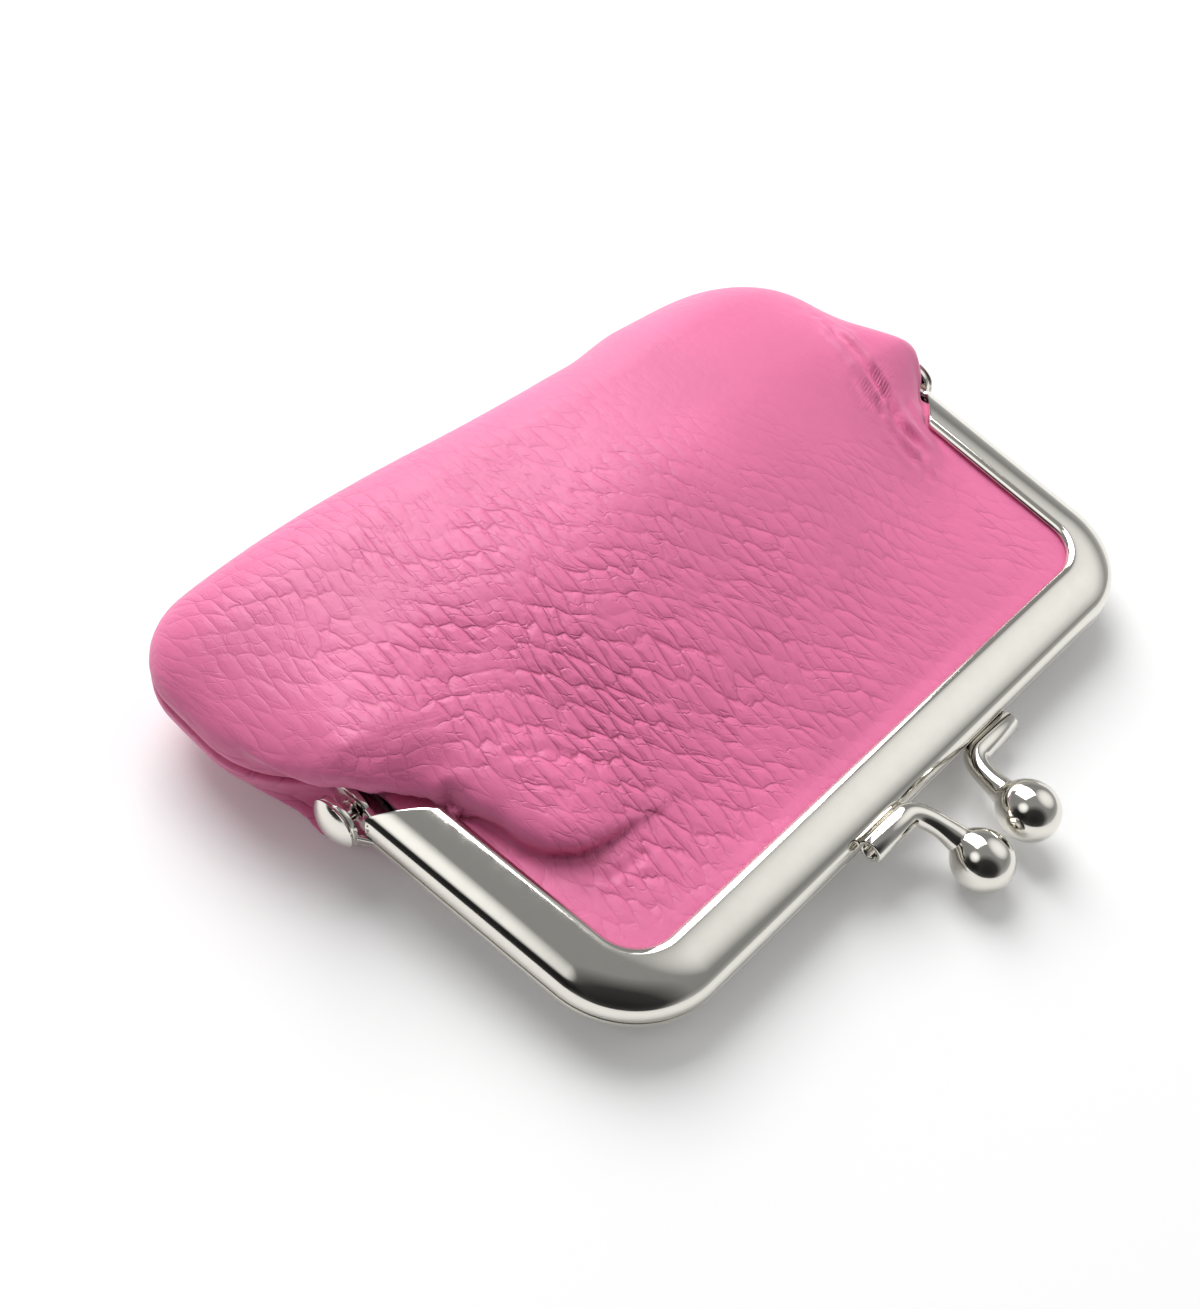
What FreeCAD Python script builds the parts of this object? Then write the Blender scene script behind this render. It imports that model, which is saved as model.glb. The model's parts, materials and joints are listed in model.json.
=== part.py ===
# Kiss lock frame purse lying on its back, front half hinged on two rivets, all sizes in millimetres
import math
import os

import FreeCAD
import Part

os.makedirs("parts", exist_ok=True)
V = FreeCAD.Vector

# Frame halves: one rolled channel section led round three sides
frame_width = 83.1
band = 5.85
half_depth = 3.5
sheet = 0.7
roll_radius = 2.2
wall_height = 0.5
lip_width = 0.9
lip_drop = 0.6
corner_radius = 4.6
arm_length = 29.4
splay_angle = 4.4
seam_gap = 0.1
flange_end = 7.0
end_slant_angle = 39.0

# Hinge tabs and rivets
tab_radius = 2.6
tab_outset = 0.95
tab_joggle = 2.05
tab_rise = 1.3
tab_bend = 2.6
tab_root = 3.0
shank_radius = 1.0
head_radius = 2.7
head_height = 1.3
peen_radius = 1.6
peen_height = 0.5

# Clasps: tube foot, bent neck and ball
ball_radius = 3.12
ball_spacing = 7.3
ball_reach = 8.95
ball_lift = 0.6
foot_length = 5.4
foot_radius = 1.3
foot_wall = 0.5
foot_seat = 1.0
bend_length = 2.7
neck_lean = 0.85
neck_radius = 1.15
clasp_offset = 2.0

# Pouch: leather shells, lining, paper cords and seam thread
leather = 1.2
lining = 0.35
slot_depth = 3.0
slot_curl = 0.4
lip_gap = 1.6
pouch_half_width = 48.0
pouch_bottom = 30.0
pouch_corner = 11.0
shoulder_length = 11.5
shoulder_turn_angle = 64.0
neck_gap = 0.7
front_height = 8.4
front_rise = 30.0
rear_rise = 8.0
rest_depth = 7.1
rest_flat = 0.4
fold_reach = 9.5
cord_radius = 0.82
thread_radius = 0.15

# Fits and one overrun for all cuts
running_clearance = 0.05
soft_clearance = 0.1
body_clearance = 0.35
ball_clearance = 0.3
overrun = 5.0

# Shares of the neck's way, and of its growth from the neck to the ball
neck_shares = (0.0, 0.16, 0.32, 0.48, 0.62, 0.74, 0.84)
flare_shares = (0.0, 0.0, 0.0, 0.02, 0.1, 0.28, 0.58)
start_share = 0.9
dome_share = 0.5

# Counts of stations that carry the leather surfaces
across_count = 16
corner_count = 4
arm_count = 5
neck_count = 4
shoulder_count = 3
side_count = 2
bottom_count = 5
sheet_degree = 3

splay = math.radians(splay_angle)
along = V(math.sin(splay), math.cos(splay), 0)
outward = V(math.cos(splay), -math.sin(splay), 0)
inner_half = frame_width / 2 - band
bar_y = -arm_length
bar_outer_y = bar_y - band
crown_span = band - roll_radius - lip_width
crown_rise = half_depth - wall_height
crown_square = crown_span ** 2 + crown_rise ** 2 - roll_radius ** 2
crown_radius = crown_square / (2 * (crown_rise - roll_radius))
crown_turn = math.degrees(math.asin(crown_span / (crown_radius - roll_radius)))
lip_radius = (lip_width ** 2 + lip_drop ** 2) / (2 * lip_drop)
lip_low = half_depth - lip_radius + (lip_radius - sheet) * (lip_radius - lip_drop) / lip_radius
slot_level = lip_low - soft_clearance
end_slope = math.tan(math.radians(end_slant_angle))


def inner_x(y):
    """Half the width between the frame's arms at one place along them."""
    return inner_half + (y - bar_y) * math.tan(splay)


def polar(centre, radius, degrees):
    """Point on a circle in the section plane."""
    turn = math.radians(degrees)
    return (centre[0] + radius * math.cos(turn), centre[1] + radius * math.sin(turn))


def channel_section(place):
    """Closed wire of the rolled channel: seam wall, roll, gently arched flange and turned lip."""
    roll = (band - roll_radius, wall_height)
    crown = (lip_width, half_depth - crown_radius)
    lip = (lip_width, half_depth - lip_radius)
    lip_turn = 90 + math.degrees(math.asin(lip_width / lip_radius))
    join = 90 - crown_turn
    edges = []

    def line(p, q):
        edges.append(Part.LineSegment(place(*p), place(*q)).toShape())

    def arc(centre, radius, first, last):
        ends = [polar(centre, radius, d) for d in (first, (first + last) / 2, last)]
        edges.append(Part.Arc(*[place(*p) for p in ends]).toShape())

    foot = seam_gap / 2
    line((band, foot), (band, wall_height))
    arc(roll, roll_radius, 0, join)
    arc(crown, crown_radius, join, 90)
    arc(lip, lip_radius, 90, lip_turn)
    line(polar(lip, lip_radius, lip_turn), polar(lip, lip_radius - sheet, lip_turn))
    arc(lip, lip_radius - sheet, lip_turn, 90)
    arc(crown, crown_radius - sheet, 90, join)
    arc(roll, roll_radius - sheet, join, 0)
    line((band - sheet, wall_height), (band - sheet, foot))
    line((band - sheet, foot), (band, foot))
    return Part.Wire(edges)


def rail(offset, length, level):
    """U path of lines and tangent arcs at one offset outside the frame's inner edge."""
    radius = corner_radius + offset
    corner = V(inner_half, bar_y, 0) + outward * offset
    corner = corner + along * ((bar_y - offset - corner.y) / along.y)
    turn = math.pi / 2 - splay
    tangent = radius * math.tan(turn / 2)
    end = V(inner_half, bar_y, 0) + outward * offset + along * length
    low = corner + along * tangent
    top = corner - V(tangent, 0, 0)
    centre = V(top.x, top.y + radius, 0)
    middle = centre + (corner - centre).normalize() * radius
    right = [end, low, middle, top]
    left = [V(-p.x, p.y, 0) for p in right]
    lift = V(0, 0, level)
    right = [p + lift for p in right]
    left = [p + lift for p in left]
    edges = [
        Part.LineSegment(left[0], left[1]).toShape(),
        Part.Arc(left[1], left[2], left[3]).toShape(),
        Part.LineSegment(left[3], right[3]).toShape(),
        Part.Arc(right[3], right[2], right[1]).toShape(),
        Part.LineSegment(right[1], right[0]).toShape(),
    ]
    return Part.Wire(edges)


def prism(points, low, high):
    """Plan outline raised from one level to another."""
    ring = [V(x, y, low) for x, y in points]
    return Part.Face(Part.makePolygon(ring + ring[:1])).extrude(V(0, 0, high - low))


def mirrored(shape):
    """The same piece on the other side of the purse."""
    return shape.mirror(V(0, 0, 0), V(1, 0, 0))


arm_reach = arm_length / math.cos(splay) + overrun
tab_x = inner_x(0) + band / math.cos(splay) + tab_outset
rivet_inner_x = tab_x - tab_joggle - sheet - running_clearance - peen_height


def channel():
    """Front half's channel with its slanted flange ends, seam face down."""
    start = V(-inner_half, bar_y, 0) + V(-along.x, along.y, 0) * arm_reach
    side = V(-outward.x, outward.y, 0)
    section = channel_section(lambda a, h: start + side * a + V(0, 0, h))
    half = rail(0, arm_reach, 0).makePipeShell([section], True, False)
    inner_end = V(inner_x(-flange_end), -flange_end, 0)
    far = band + overrun
    points = [
        (inner_end.x - overrun, inner_end.y - overrun * end_slope),
        (inner_end.x + far, inner_end.y + far * end_slope),
        (inner_end.x + far, arm_reach),
        (inner_end.x - overrun, arm_reach),
    ]
    waste = prism(points, -half_depth, half_depth + overrun)
    half = half.cut(waste).cut(mirrored(waste))
    relief_x = tab_x - tab_joggle
    relief = Part.makeCylinder(tab_radius + body_clearance, overrun, V(relief_x, 0, 0), V(1, 0, 0))
    return half.cut(relief).cut(mirrored(relief))


def hinge_tab(joggle, bore):
    """Right hand tab: the seam wall runs on, steps out or in by the joggle and ends in a round eye."""
    eye_x = tab_x - joggle
    bend_y = -tab_radius - body_clearance
    step_y = bend_y - tab_bend
    root_y = step_y - tab_root
    wall = band / math.cos(splay)
    outer = [
        (inner_x(root_y) + wall, root_y),
        (inner_x(step_y) + wall, step_y),
        (eye_x, bend_y),
        (eye_x, 0),
    ]
    inner = [(x - sheet, y) for x, y in reversed(outer)]
    strip = prism(outer + inner, seam_gap / 2, tab_rise)
    eye = Part.makeCylinder(tab_radius, sheet, V(eye_x - sheet, 0, 0), V(1, 0, 0))
    hole = Part.makeCylinder(bore, sheet + 2 * overrun, V(eye_x - sheet - overrun, 0, 0), V(1, 0, 0))
    return strip.fuse(eye).cut(hole)


def frame_half(joggle, bore):
    """One whole frame half with both hinge tabs."""
    tab = hinge_tab(joggle, bore)
    return channel().fuse([tab, mirrored(tab)]).removeSplitter()


def rivet():
    """Right hand rivet: domed head, shank through both tabs, peened inner end."""
    inside = rivet_inner_x + peen_height
    crown = (head_radius ** 2 + head_height ** 2) / (2 * head_height)
    half_turn = math.asin(head_radius / crown) / 2
    dome_x = tab_x + head_height - crown
    tip = V(tab_x + head_height, 0, 0)
    bulge = V(dome_x + crown * math.cos(half_turn), crown * math.sin(half_turn), 0)
    rim = V(tab_x, head_radius, 0)
    edges = [
        Part.Arc(tip, bulge, rim).toShape(),
        Part.makePolygon(
            [
                rim,
                V(tab_x, shank_radius, 0),
                V(inside, shank_radius, 0),
                V(inside, peen_radius, 0),
                V(rivet_inner_x, shank_radius, 0),
                V(rivet_inner_x, 0, 0),
                tip,
            ]
        ),
    ]
    return Part.Face(Part.Wire(edges)).revolve(V(0, 0, 0), V(1, 0, 0), 360)


def ring_on(point, heading, radius):
    """Circle square to a heading, kept from twisting along a neck."""
    level = V(0, 0, 1) - heading * heading.z
    level.normalize()
    side = heading.cross(level)
    points = [level, side, level * -1]
    circle = Part.Circle(point + points[0] * radius, point + points[1] * radius, point + points[2] * radius)
    return Part.Wire(circle.toShape())


def clasp():
    """Front half's clasp: slit tube foot on the seam wall, neck bent out and flared into the ball."""
    wall_y = bar_outer_y
    axis_y = wall_y - foot_seat
    axis_z = foot_radius + seam_gap / 2 + soft_clearance
    ball = V(clasp_offset - ball_spacing / 2, wall_y - ball_reach, -ball_lift)
    bend = V(ball.x - neck_lean, axis_y, axis_z)
    start = bend - V(bend_length, 0, 0)
    tail = start - V(foot_length, 0, 0)
    foot = Part.makeCylinder(foot_radius, foot_length, tail, V(1, 0, 0))
    bore = Part.makeCylinder(foot_radius - foot_wall, foot_length, tail, V(1, 0, 0))
    rings = []
    for share, flare in zip(neck_shares, flare_shares):
        point = start * (1 - share) ** 2 + bend * (2 * share * (1 - share)) + ball * share ** 2
        heading = (bend - start) * (1 - share) + (ball - bend) * share
        heading.normalize()
        thin = foot_radius + (neck_radius - foot_radius) * min(1, share / start_share * 2)
        rings.append(ring_on(point, heading, thin + (ball_radius - thin) * flare))
    neck = Part.makeLoft(rings, True, False)
    body = neck.fuse([foot, Part.makeSphere(ball_radius, ball)]).cut(bore)
    reach = foot_length + bend_length + ball_spacing
    behind = prism(
        [
            (tail.x - overrun, wall_y),
            (tail.x + reach, wall_y),
            (tail.x + reach, wall_y + overrun),
            (tail.x - overrun, wall_y + overrun),
        ],
        -half_depth,
        wall_height,
    )
    roll_start = V(tail.x - overrun, wall_y + roll_radius, wall_height)
    roll = Part.makeCylinder(roll_radius, reach + overrun, roll_start, V(1, 0, 0))
    return body.cut(behind.fuse(roll)).removeSplitter()


ball_y = bar_outer_y - ball_reach
ball_low = ball_radius + ball_lift + ball_clearance
tilt_slope = (ball_low - rest_depth) / ball_y
tilt = math.atan(tilt_slope)
corner_y = pouch_bottom - pouch_corner
shoulder_y = tab_radius
side_y = shoulder_y + shoulder_length
shoulder_turn = math.radians(shoulder_turn_angle)
neck_half = rivet_inner_x - neck_gap
shoulder_flare = pouch_half_width - neck_half
slot_top_y = bar_y - slot_depth
slot_corner = corner_radius + slot_depth
arm_y = -fold_reach
free_y = slot_depth * end_slope - flange_end


def smooth(share):
    """Even rise from zero to one."""
    share = max(0.0, min(1.0, share))
    return share * share * (3 - 2 * share)


def freed(y):
    """How far the leather has left the slot: none on the arms, all at the shoulder."""
    return smooth((y - free_y) / (shoulder_y - free_y))


def outline_x(y, inset):
    """Half the leather's width: in the slot between the arms, then out over the shoulder."""
    if y >= corner_y:
        drop = min(1.0, (y - corner_y) / pouch_corner)
        return pouch_half_width - inset - (pouch_corner - inset) * (1 - math.sqrt(1 - drop * drop))
    if y >= side_y:
        return pouch_half_width - inset
    if y >= shoulder_y:
        lean = math.asin(math.sin(shoulder_turn) * (side_y - y) / shoulder_length)
        drawn_in = (1 - math.cos(lean)) / (1 - math.cos(shoulder_turn))
        return pouch_half_width - inset - shoulder_flare * drawn_in
    edge = inner_x(min(y, free_y)) + slot_depth
    if y >= free_y:
        return edge + (neck_half - inset - edge) * freed(y)
    rise = max(0.0, slot_top_y + slot_corner - y)
    return edge - slot_corner + math.sqrt(slot_corner ** 2 - min(rise, slot_corner) ** 2)


def leather_point(turn, y, inset, rear):
    """Point of a shell at one turn across the pouch and one station along it."""
    blend = freed(y)
    closing = 1.0
    place = y
    if y > corner_y:
        drop = min(1.0, (y - corner_y) / pouch_corner)
        closing = math.sqrt(1 - drop * drop)
        place = corner_y + (pouch_corner - inset) * drop
    even = turn / (math.pi / 2)
    across = even + (math.sin(turn) - even) * closing
    x = outline_x(y, inset) * (even + (across - even) * blend)
    full = front_height
    if rear:
        full = rest_depth + y * tilt_slope + rest_flat
    rise = rear_rise if rear else front_rise
    crown = (full - slot_level) * smooth((y - bar_y - lip_gap) / rise)
    span = min(1.0, abs(x) / (inner_x(min(y, 0)) - lip_gap))
    flat = 4 if rear else 2
    tucked = max(0.0, (bar_y + lip_gap - y) / (slot_depth + lip_gap))
    strip = slot_level - inset - slot_curl * (tucked ** 2 + even ** 2) / 2
    between = strip + crown * (1 - span ** flat) ** (1 + dome_share)
    below = (full - inset) * (1 - abs(across) ** (flat + 1)) ** dome_share * closing
    rim = (seam_gap + thread_radius) * blend
    z = between + (below - between) * blend + rim
    return V(x, place, -z if rear else z)


def stations(low, high, count):
    """Evenly spaced values from low to high."""
    return [low + (high - low) * i / count for i in range(count + 1)]


def pole_places(knots):
    """Where the poles of a clamped spline lie, so that it runs evenly from knot to knot."""
    ends = [knots[0]] * sheet_degree + knots + [knots[-1]] * sheet_degree
    count = len(knots) + sheet_degree - 1
    return [sum(ends[i + 1:i + 1 + sheet_degree]) / sheet_degree for i in range(count)]


def smooth_sheet(places, turns, inset, rear):
    """Smooth cubic surface of a shell, drawn by its poles, which it never swings beyond."""
    grid = [[leather_point(t, y, inset, rear) for t in pole_places(turns)] for y in pole_places(places)]
    ends = sheet_degree + 1
    mults = [[ends] + [1] * (len(knots) - 2) + [ends] for knots in (places, turns)]
    surface = Part.BSplineSurface()
    surface.buildFromPolesMultsKnots(
        grid, mults[0], mults[1], places, turns, False, False, sheet_degree, sheet_degree
    )
    return surface


def shell(places, outside, thick, rear):
    """Closed shell of leather or lining between two smooth surfaces, edges ruled between them."""
    turns = stations(-math.pi / 2, math.pi / 2, across_count)
    sheets = [smooth_sheet(places, turns, inset, rear) for inset in (outside, outside + thick)]
    faces = [s.toShape() for s in sheets]
    first, last, left, right = sheets[0].bounds()
    for value in (first, last):
        faces.append(Part.makeRuledSurface(*[s.uIso(value).toShape() for s in sheets]))
    for value in (left, right):
        faces.append(Part.makeRuledSurface(*[s.vIso(value).toShape() for s in sheets]))
    skin = Part.Shell(faces)
    skin.sewShape()
    solid = Part.Solid(skin)
    if solid.Volume < 0:
        solid.reverse()
    return solid


quarter = stations(0, math.pi / 2, corner_count)
slot_stations = [slot_top_y + slot_corner * (1 - math.cos(t)) for t in quarter]
arm_stations = stations(slot_stations[-1], arm_y, arm_count)[1:]
neck_stations = [(arm_y + free_y) / 2] + stations(free_y, shoulder_y, neck_count)
fold_stations = neck_stations + stations(shoulder_y, fold_reach, shoulder_count)[1:]
side_stations = stations(fold_reach, side_y, side_count)[1:] + stations(side_y, corner_y, side_count)[1:]
bottom_stations = [corner_y + pouch_corner * math.sin(t) for t in stations(0, math.pi / 2, bottom_count)][1:]
upper_places = slot_stations + arm_stations
fold_places = [arm_y + soft_clearance] + fold_stations
lower_places = [fold_reach + soft_clearance] + side_stations + bottom_stations
rear_places = slot_stations + arm_stations + fold_stations + side_stations + bottom_stations


def rest_waste():
    """All that lies below the table the purse rests on."""
    reach = pouch_half_width + overrun
    low = [(y, -(rest_depth + y * tilt_slope)) for y in (-reach, reach)]
    deep = rest_depth + overrun
    ring = [V(-reach, y, z) for y, z in low] + [V(-reach, y, z - deep) for y, z in reversed(low)]
    return Part.Face(Part.makePolygon(ring + ring[:1])).extrude(V(2 * reach, 0, 0))


def paper_cord():
    """Cord that wedges the leather in the front half's channel."""
    offset = slot_depth + soft_clearance + cord_radius
    level = seam_gap / 2 + soft_clearance + cord_radius
    path = rail(offset, arm_length - flange_end, level)
    start = path.Edges[0].Vertexes[0].Point
    heading = V(-along.x, along.y, 0)
    ring = Part.Wire(Part.Circle(start, heading, cord_radius).toShape())
    return path.makePipeShell([ring], True, False)


def seam_thread():
    """Thread along the turned seam, from shoulder to shoulder round the bottom."""
    inset = leather / 2
    x = pouch_half_width - inset
    radius = pouch_corner - inset
    bend = radius * math.sqrt(dome_share)
    bottom = pouch_bottom - inset
    right = [V(outline_x(y, inset), y, 0) for y in stations(fold_reach, side_y, 2)] + [
        V(x, corner_y, 0),
        V(x - radius + bend, corner_y + bend, 0),
        V(x - radius, bottom, 0),
    ]
    left = [V(-p.x, p.y, 0) for p in right]
    edges = [
        Part.Arc(left[0], left[1], left[2]).toShape(),
        Part.LineSegment(left[2], left[3]).toShape(),
        Part.Arc(left[3], left[4], left[5]).toShape(),
        Part.LineSegment(left[5], right[5]).toShape(),
        Part.Arc(right[5], right[4], right[3]).toShape(),
        Part.LineSegment(right[3], right[2]).toShape(),
        Part.Arc(right[2], right[1], right[0]).toShape(),
    ]
    path = Part.Wire(edges)
    heading = edges[0].tangentAt(edges[0].FirstParameter)
    ring = Part.Wire(Part.Circle(left[0], heading, thread_radius).toShape())
    return path.makePipeShell([ring], True, False)


def turned_over(shape, centre_x):
    """The front half's piece turned half round to make the rear half's own."""
    copy = shape.copy()
    copy.rotate(V(centre_x, 0, 0), V(0, 1, 0), 180)
    return copy


front_clasp = clasp()
cord = paper_cord()
right_rivet = rivet()
inside_leather = leather + soft_clearance
nodes = {
    "rear_frame": turned_over(frame_half(0, shank_radius), 0),
    "front_frame": frame_half(tab_joggle, shank_radius + running_clearance),
    "rear_clasp": turned_over(front_clasp, clasp_offset),
    "front_clasp": front_clasp,
    "left_rivet": mirrored(right_rivet),
    "right_rivet": right_rivet,
    "rear_leather": shell(rear_places, 0, leather, True).cut(rest_waste()),
    "front_leather_upper": shell(upper_places, 0, leather, False),
    "front_leather_fold": shell(fold_places, 0, leather, False),
    "front_leather_lower": shell(lower_places, 0, leather, False),
    "rear_lining": shell(rear_places, inside_leather, lining, True),
    "front_lining_upper": shell(upper_places, inside_leather, lining, False),
    "front_lining_fold": shell(fold_places, inside_leather, lining, False),
    "front_lining_lower": shell(lower_places, inside_leather, lining, False),
    "rear_paper_cord": turned_over(cord, 0),
    "front_paper_cord": cord,
    "seam_thread": seam_thread(),
}

# Laid on the table: turned so that the rest face is level, then centred over the origin
near_y = ball_y * math.cos(tilt) - ball_radius
far_y = pouch_bottom * math.cos(tilt)
shift = V(0, -(near_y + far_y) / 2, rest_depth * math.cos(tilt))
for name, shape in nodes.items():
    shape.rotate(V(0, 0, 0), V(1, 0, 0), math.degrees(tilt))
    shape.translate(shift)
    shape.exportStep("parts/" + name + ".step")
    print(name, shape.isValid(), len(shape.Solids), round(shape.Volume, 2))
print("hinge axis", round(shift.y, 4), round(shift.z, 4), "tilt", round(math.degrees(tilt), 4))
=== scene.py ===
import json
import math

import bmesh
import bpy
import numpy as np
from bpy.props import FloatProperty, FloatVectorProperty, IntProperty, PointerProperty
from mathutils import Euler, Matrix, Vector, noise

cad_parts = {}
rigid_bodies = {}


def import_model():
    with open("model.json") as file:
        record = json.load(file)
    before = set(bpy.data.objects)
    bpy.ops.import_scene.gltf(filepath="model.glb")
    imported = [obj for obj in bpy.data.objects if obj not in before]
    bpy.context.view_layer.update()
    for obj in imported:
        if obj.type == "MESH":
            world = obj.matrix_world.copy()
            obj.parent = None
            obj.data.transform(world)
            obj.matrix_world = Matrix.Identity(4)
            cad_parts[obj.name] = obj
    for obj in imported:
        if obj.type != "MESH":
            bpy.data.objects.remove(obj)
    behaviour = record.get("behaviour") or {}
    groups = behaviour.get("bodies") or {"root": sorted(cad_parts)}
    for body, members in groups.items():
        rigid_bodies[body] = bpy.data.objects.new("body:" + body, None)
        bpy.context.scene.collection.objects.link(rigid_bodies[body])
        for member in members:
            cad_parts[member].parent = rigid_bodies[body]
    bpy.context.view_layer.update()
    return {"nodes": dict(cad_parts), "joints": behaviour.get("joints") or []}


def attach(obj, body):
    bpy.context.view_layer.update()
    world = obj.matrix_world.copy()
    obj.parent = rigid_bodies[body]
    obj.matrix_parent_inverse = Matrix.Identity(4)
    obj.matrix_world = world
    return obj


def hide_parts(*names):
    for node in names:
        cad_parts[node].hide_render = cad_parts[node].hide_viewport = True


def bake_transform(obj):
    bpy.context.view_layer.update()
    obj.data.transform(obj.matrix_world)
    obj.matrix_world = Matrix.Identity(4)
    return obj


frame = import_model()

bl_info = {
    "name": "Kiss lock frame purse",
    "version": (1, 0, 0),
    "blender": (4, 5, 0),
    "location": "View3D > Sidebar > Purse",
    "description": "Pebbled leather pouch on a nickel plated hinged frame with ball clasps",
    "category": "Add Mesh",
}

# The purse's own frame: x along the bar, y from the clasps to the pouch's bottom, z to the front,
# with the hinge axis at its origin. The frame lies tilted on its pouch.
HINGE = Vector(frame["joints"][0]["pos_m"])
FRONT = frame["joints"][0]["child"]
REAR = frame["joints"][0]["parent"]

UP = Vector((0.0, 0.0, 1.0))
# Edges that turn more than this are shaded sharp and rounded
SHARP = math.radians(48)
# Vertices nearer than this are one
MERGE = 1e-7
MIRROR_MERGE = 1e-6


def length(label, note, value):
    """A size in metres that a user may change."""
    return FloatProperty(name=label, description=note, default=value, unit="LENGTH", precision=5)


def angle(label, note, degrees):
    """An angle that a user may change."""
    return FloatProperty(name=label, description=note, default=math.radians(degrees), subtype="ANGLE")


def area(label, note, value):
    """A surface in square metres that a user may change."""
    return FloatProperty(name=label, description=note, default=value, unit="AREA", precision=6)


def count(label, note, value):
    """A number of steps or cells that a user may change."""
    return IntProperty(name=label, description=note, default=value, min=2)


def colour(label, note, value):
    """A linear colour that a user may change."""
    return FloatVectorProperty(
        name=label, description=note, default=value, size=3, subtype="COLOR", min=0.0, max=1.0
    )


def location(label, note, value):
    """A place in metres that a user may change."""
    return FloatVectorProperty(
        name=label, description=note, default=value, size=3, subtype="TRANSLATION", precision=5
    )


def wattage(label, note, value):
    """A lamp's power in watts that a user may change."""
    return FloatProperty(name=label, description=note, default=value, unit="POWER")


class PurseFrameSizes(bpy.types.PropertyGroup):
    """Sizes of the rolled channel that makes each frame half."""

    tilt: angle("Tilt", "How far the frame leans up from the table", 3.9861)
    width: length("Width", "Outside width along the bar", 0.0831)
    band: length("Band", "Width of the channel seen from the front", 0.00585)
    half_depth: length("Half depth", "Height of one half above the seam", 0.0035)
    sheet: length("Sheet", "Thickness of the metal", 0.0007)
    roll_radius: length("Roll radius", "Radius of the rolled outer edge", 0.0022)
    wall_height: length("Wall height", "Straight wall above the seam", 0.0005)
    lip_width: length("Lip width", "Width of the turned lip", 0.0009)
    lip_drop: length("Lip drop", "Drop of the turned lip", 0.0006)
    corner_radius: length("Corner radius", "Radius of the inner corners", 0.0046)
    arm_length: length("Arm length", "From the bar's inner edge to the hinge axis", 0.0294)
    splay: angle("Splay", "Lean of the arms outwards", 4.4)
    seam_gap: length("Seam gap", "Gap between the closed halves", 0.0003)
    flange_end: length("Flange end", "Inner flange end before the hinge axis", 0.007)
    end_slant: angle("End slant", "Slant of the flange ends", 39.0)
    edge_round: length("Edge round", "Rounding of the sheared edges", 0.00016)
    corner_steps: count("Corner steps", "Rings round each corner", 40)
    end_steps: count("End steps", "Rings on the last stretch of each arm", 36)


class PurseHingeSizes(bpy.types.PropertyGroup):
    """Sizes of the hinge eyes and rivets."""

    eye_radius: length("Eye radius", "Outer radius of the hinge eyes", 0.0026)
    outset: length("Outset", "How far the rear eyes step out", 0.00095)
    joggle: length("Joggle", "From the rear eyes in to the front ones", 0.00205)
    bend: length("Bend", "Length of the step", 0.0026)
    root: length("Root", "Length of a tab along the wall before its step", 0.003)
    rise: length("Rise", "Height of a tab above the seam", 0.0021)
    relief: length("Relief", "Cut round the rear eye in the front half", 0.00295)
    relief_fade: length("Relief fade", "Width over which that cut fades in", 0.0004)
    tab_sink: length("Tab sink", "Outer face of a tab below the channel's wall", 0.00004)
    shank_radius: length("Shank radius", "Radius of the rivets", 0.001)
    head_radius: length("Head radius", "Radius of the domed heads", 0.0027)
    head_height: length("Head height", "Height of the domed heads", 0.0013)
    head_rim: length("Head rim", "Straight rim of the heads", 0.0003)
    peen_radius: length("Peen radius", "Radius of the peened ends", 0.0016)
    peen_height: length("Peen height", "Height of the peened ends", 0.0005)
    turn_steps: count("Turn steps", "Segments round eyes and rivets", 64)


class PurseClaspSizes(bpy.types.PropertyGroup):
    """Sizes of the two kissing clasps."""

    ball_radius: length("Ball radius", "Radius of the balls", 0.00312)
    spacing: length("Spacing", "Between the ball centres", 0.0073)
    reach: length("Reach", "Ball centres before the bar", 0.00895)
    lift: length("Lift", "Ball centres past the seam", 0.0006)
    foot_length: length("Foot length", "Tube along the bar", 0.0054)
    foot_radius: length("Foot radius", "Outer radius of the tube", 0.0013)
    foot_wall: length("Foot wall", "Wall of the tube", 0.0005)
    foot_seat: length("Foot seat", "Tube axis before the bar", 0.001)
    foot_depth: length("Foot depth", "Depth of the open end", 0.0032)
    bend_length: length("Bend length", "Neck before its bend", 0.0027)
    lean: length("Lean", "Neck bend before the ball", 0.00085)
    neck_radius: length("Neck radius", "Radius of the neck", 0.00115)
    fillet: length("Fillet", "Softness where neck meets ball", 0.0012)
    offset: length("Offset", "Pair off the bar's middle", 0.002)
    clearance: length("Clearance", "Foot above the seam", 0.0001)
    ring_steps: count("Ring steps", "Segments round a neck", 48)
    neck_steps: count("Neck steps", "Rings along a neck", 56)
    cap_steps: count("Cap steps", "Rings on the far half of a ball", 16)


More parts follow.
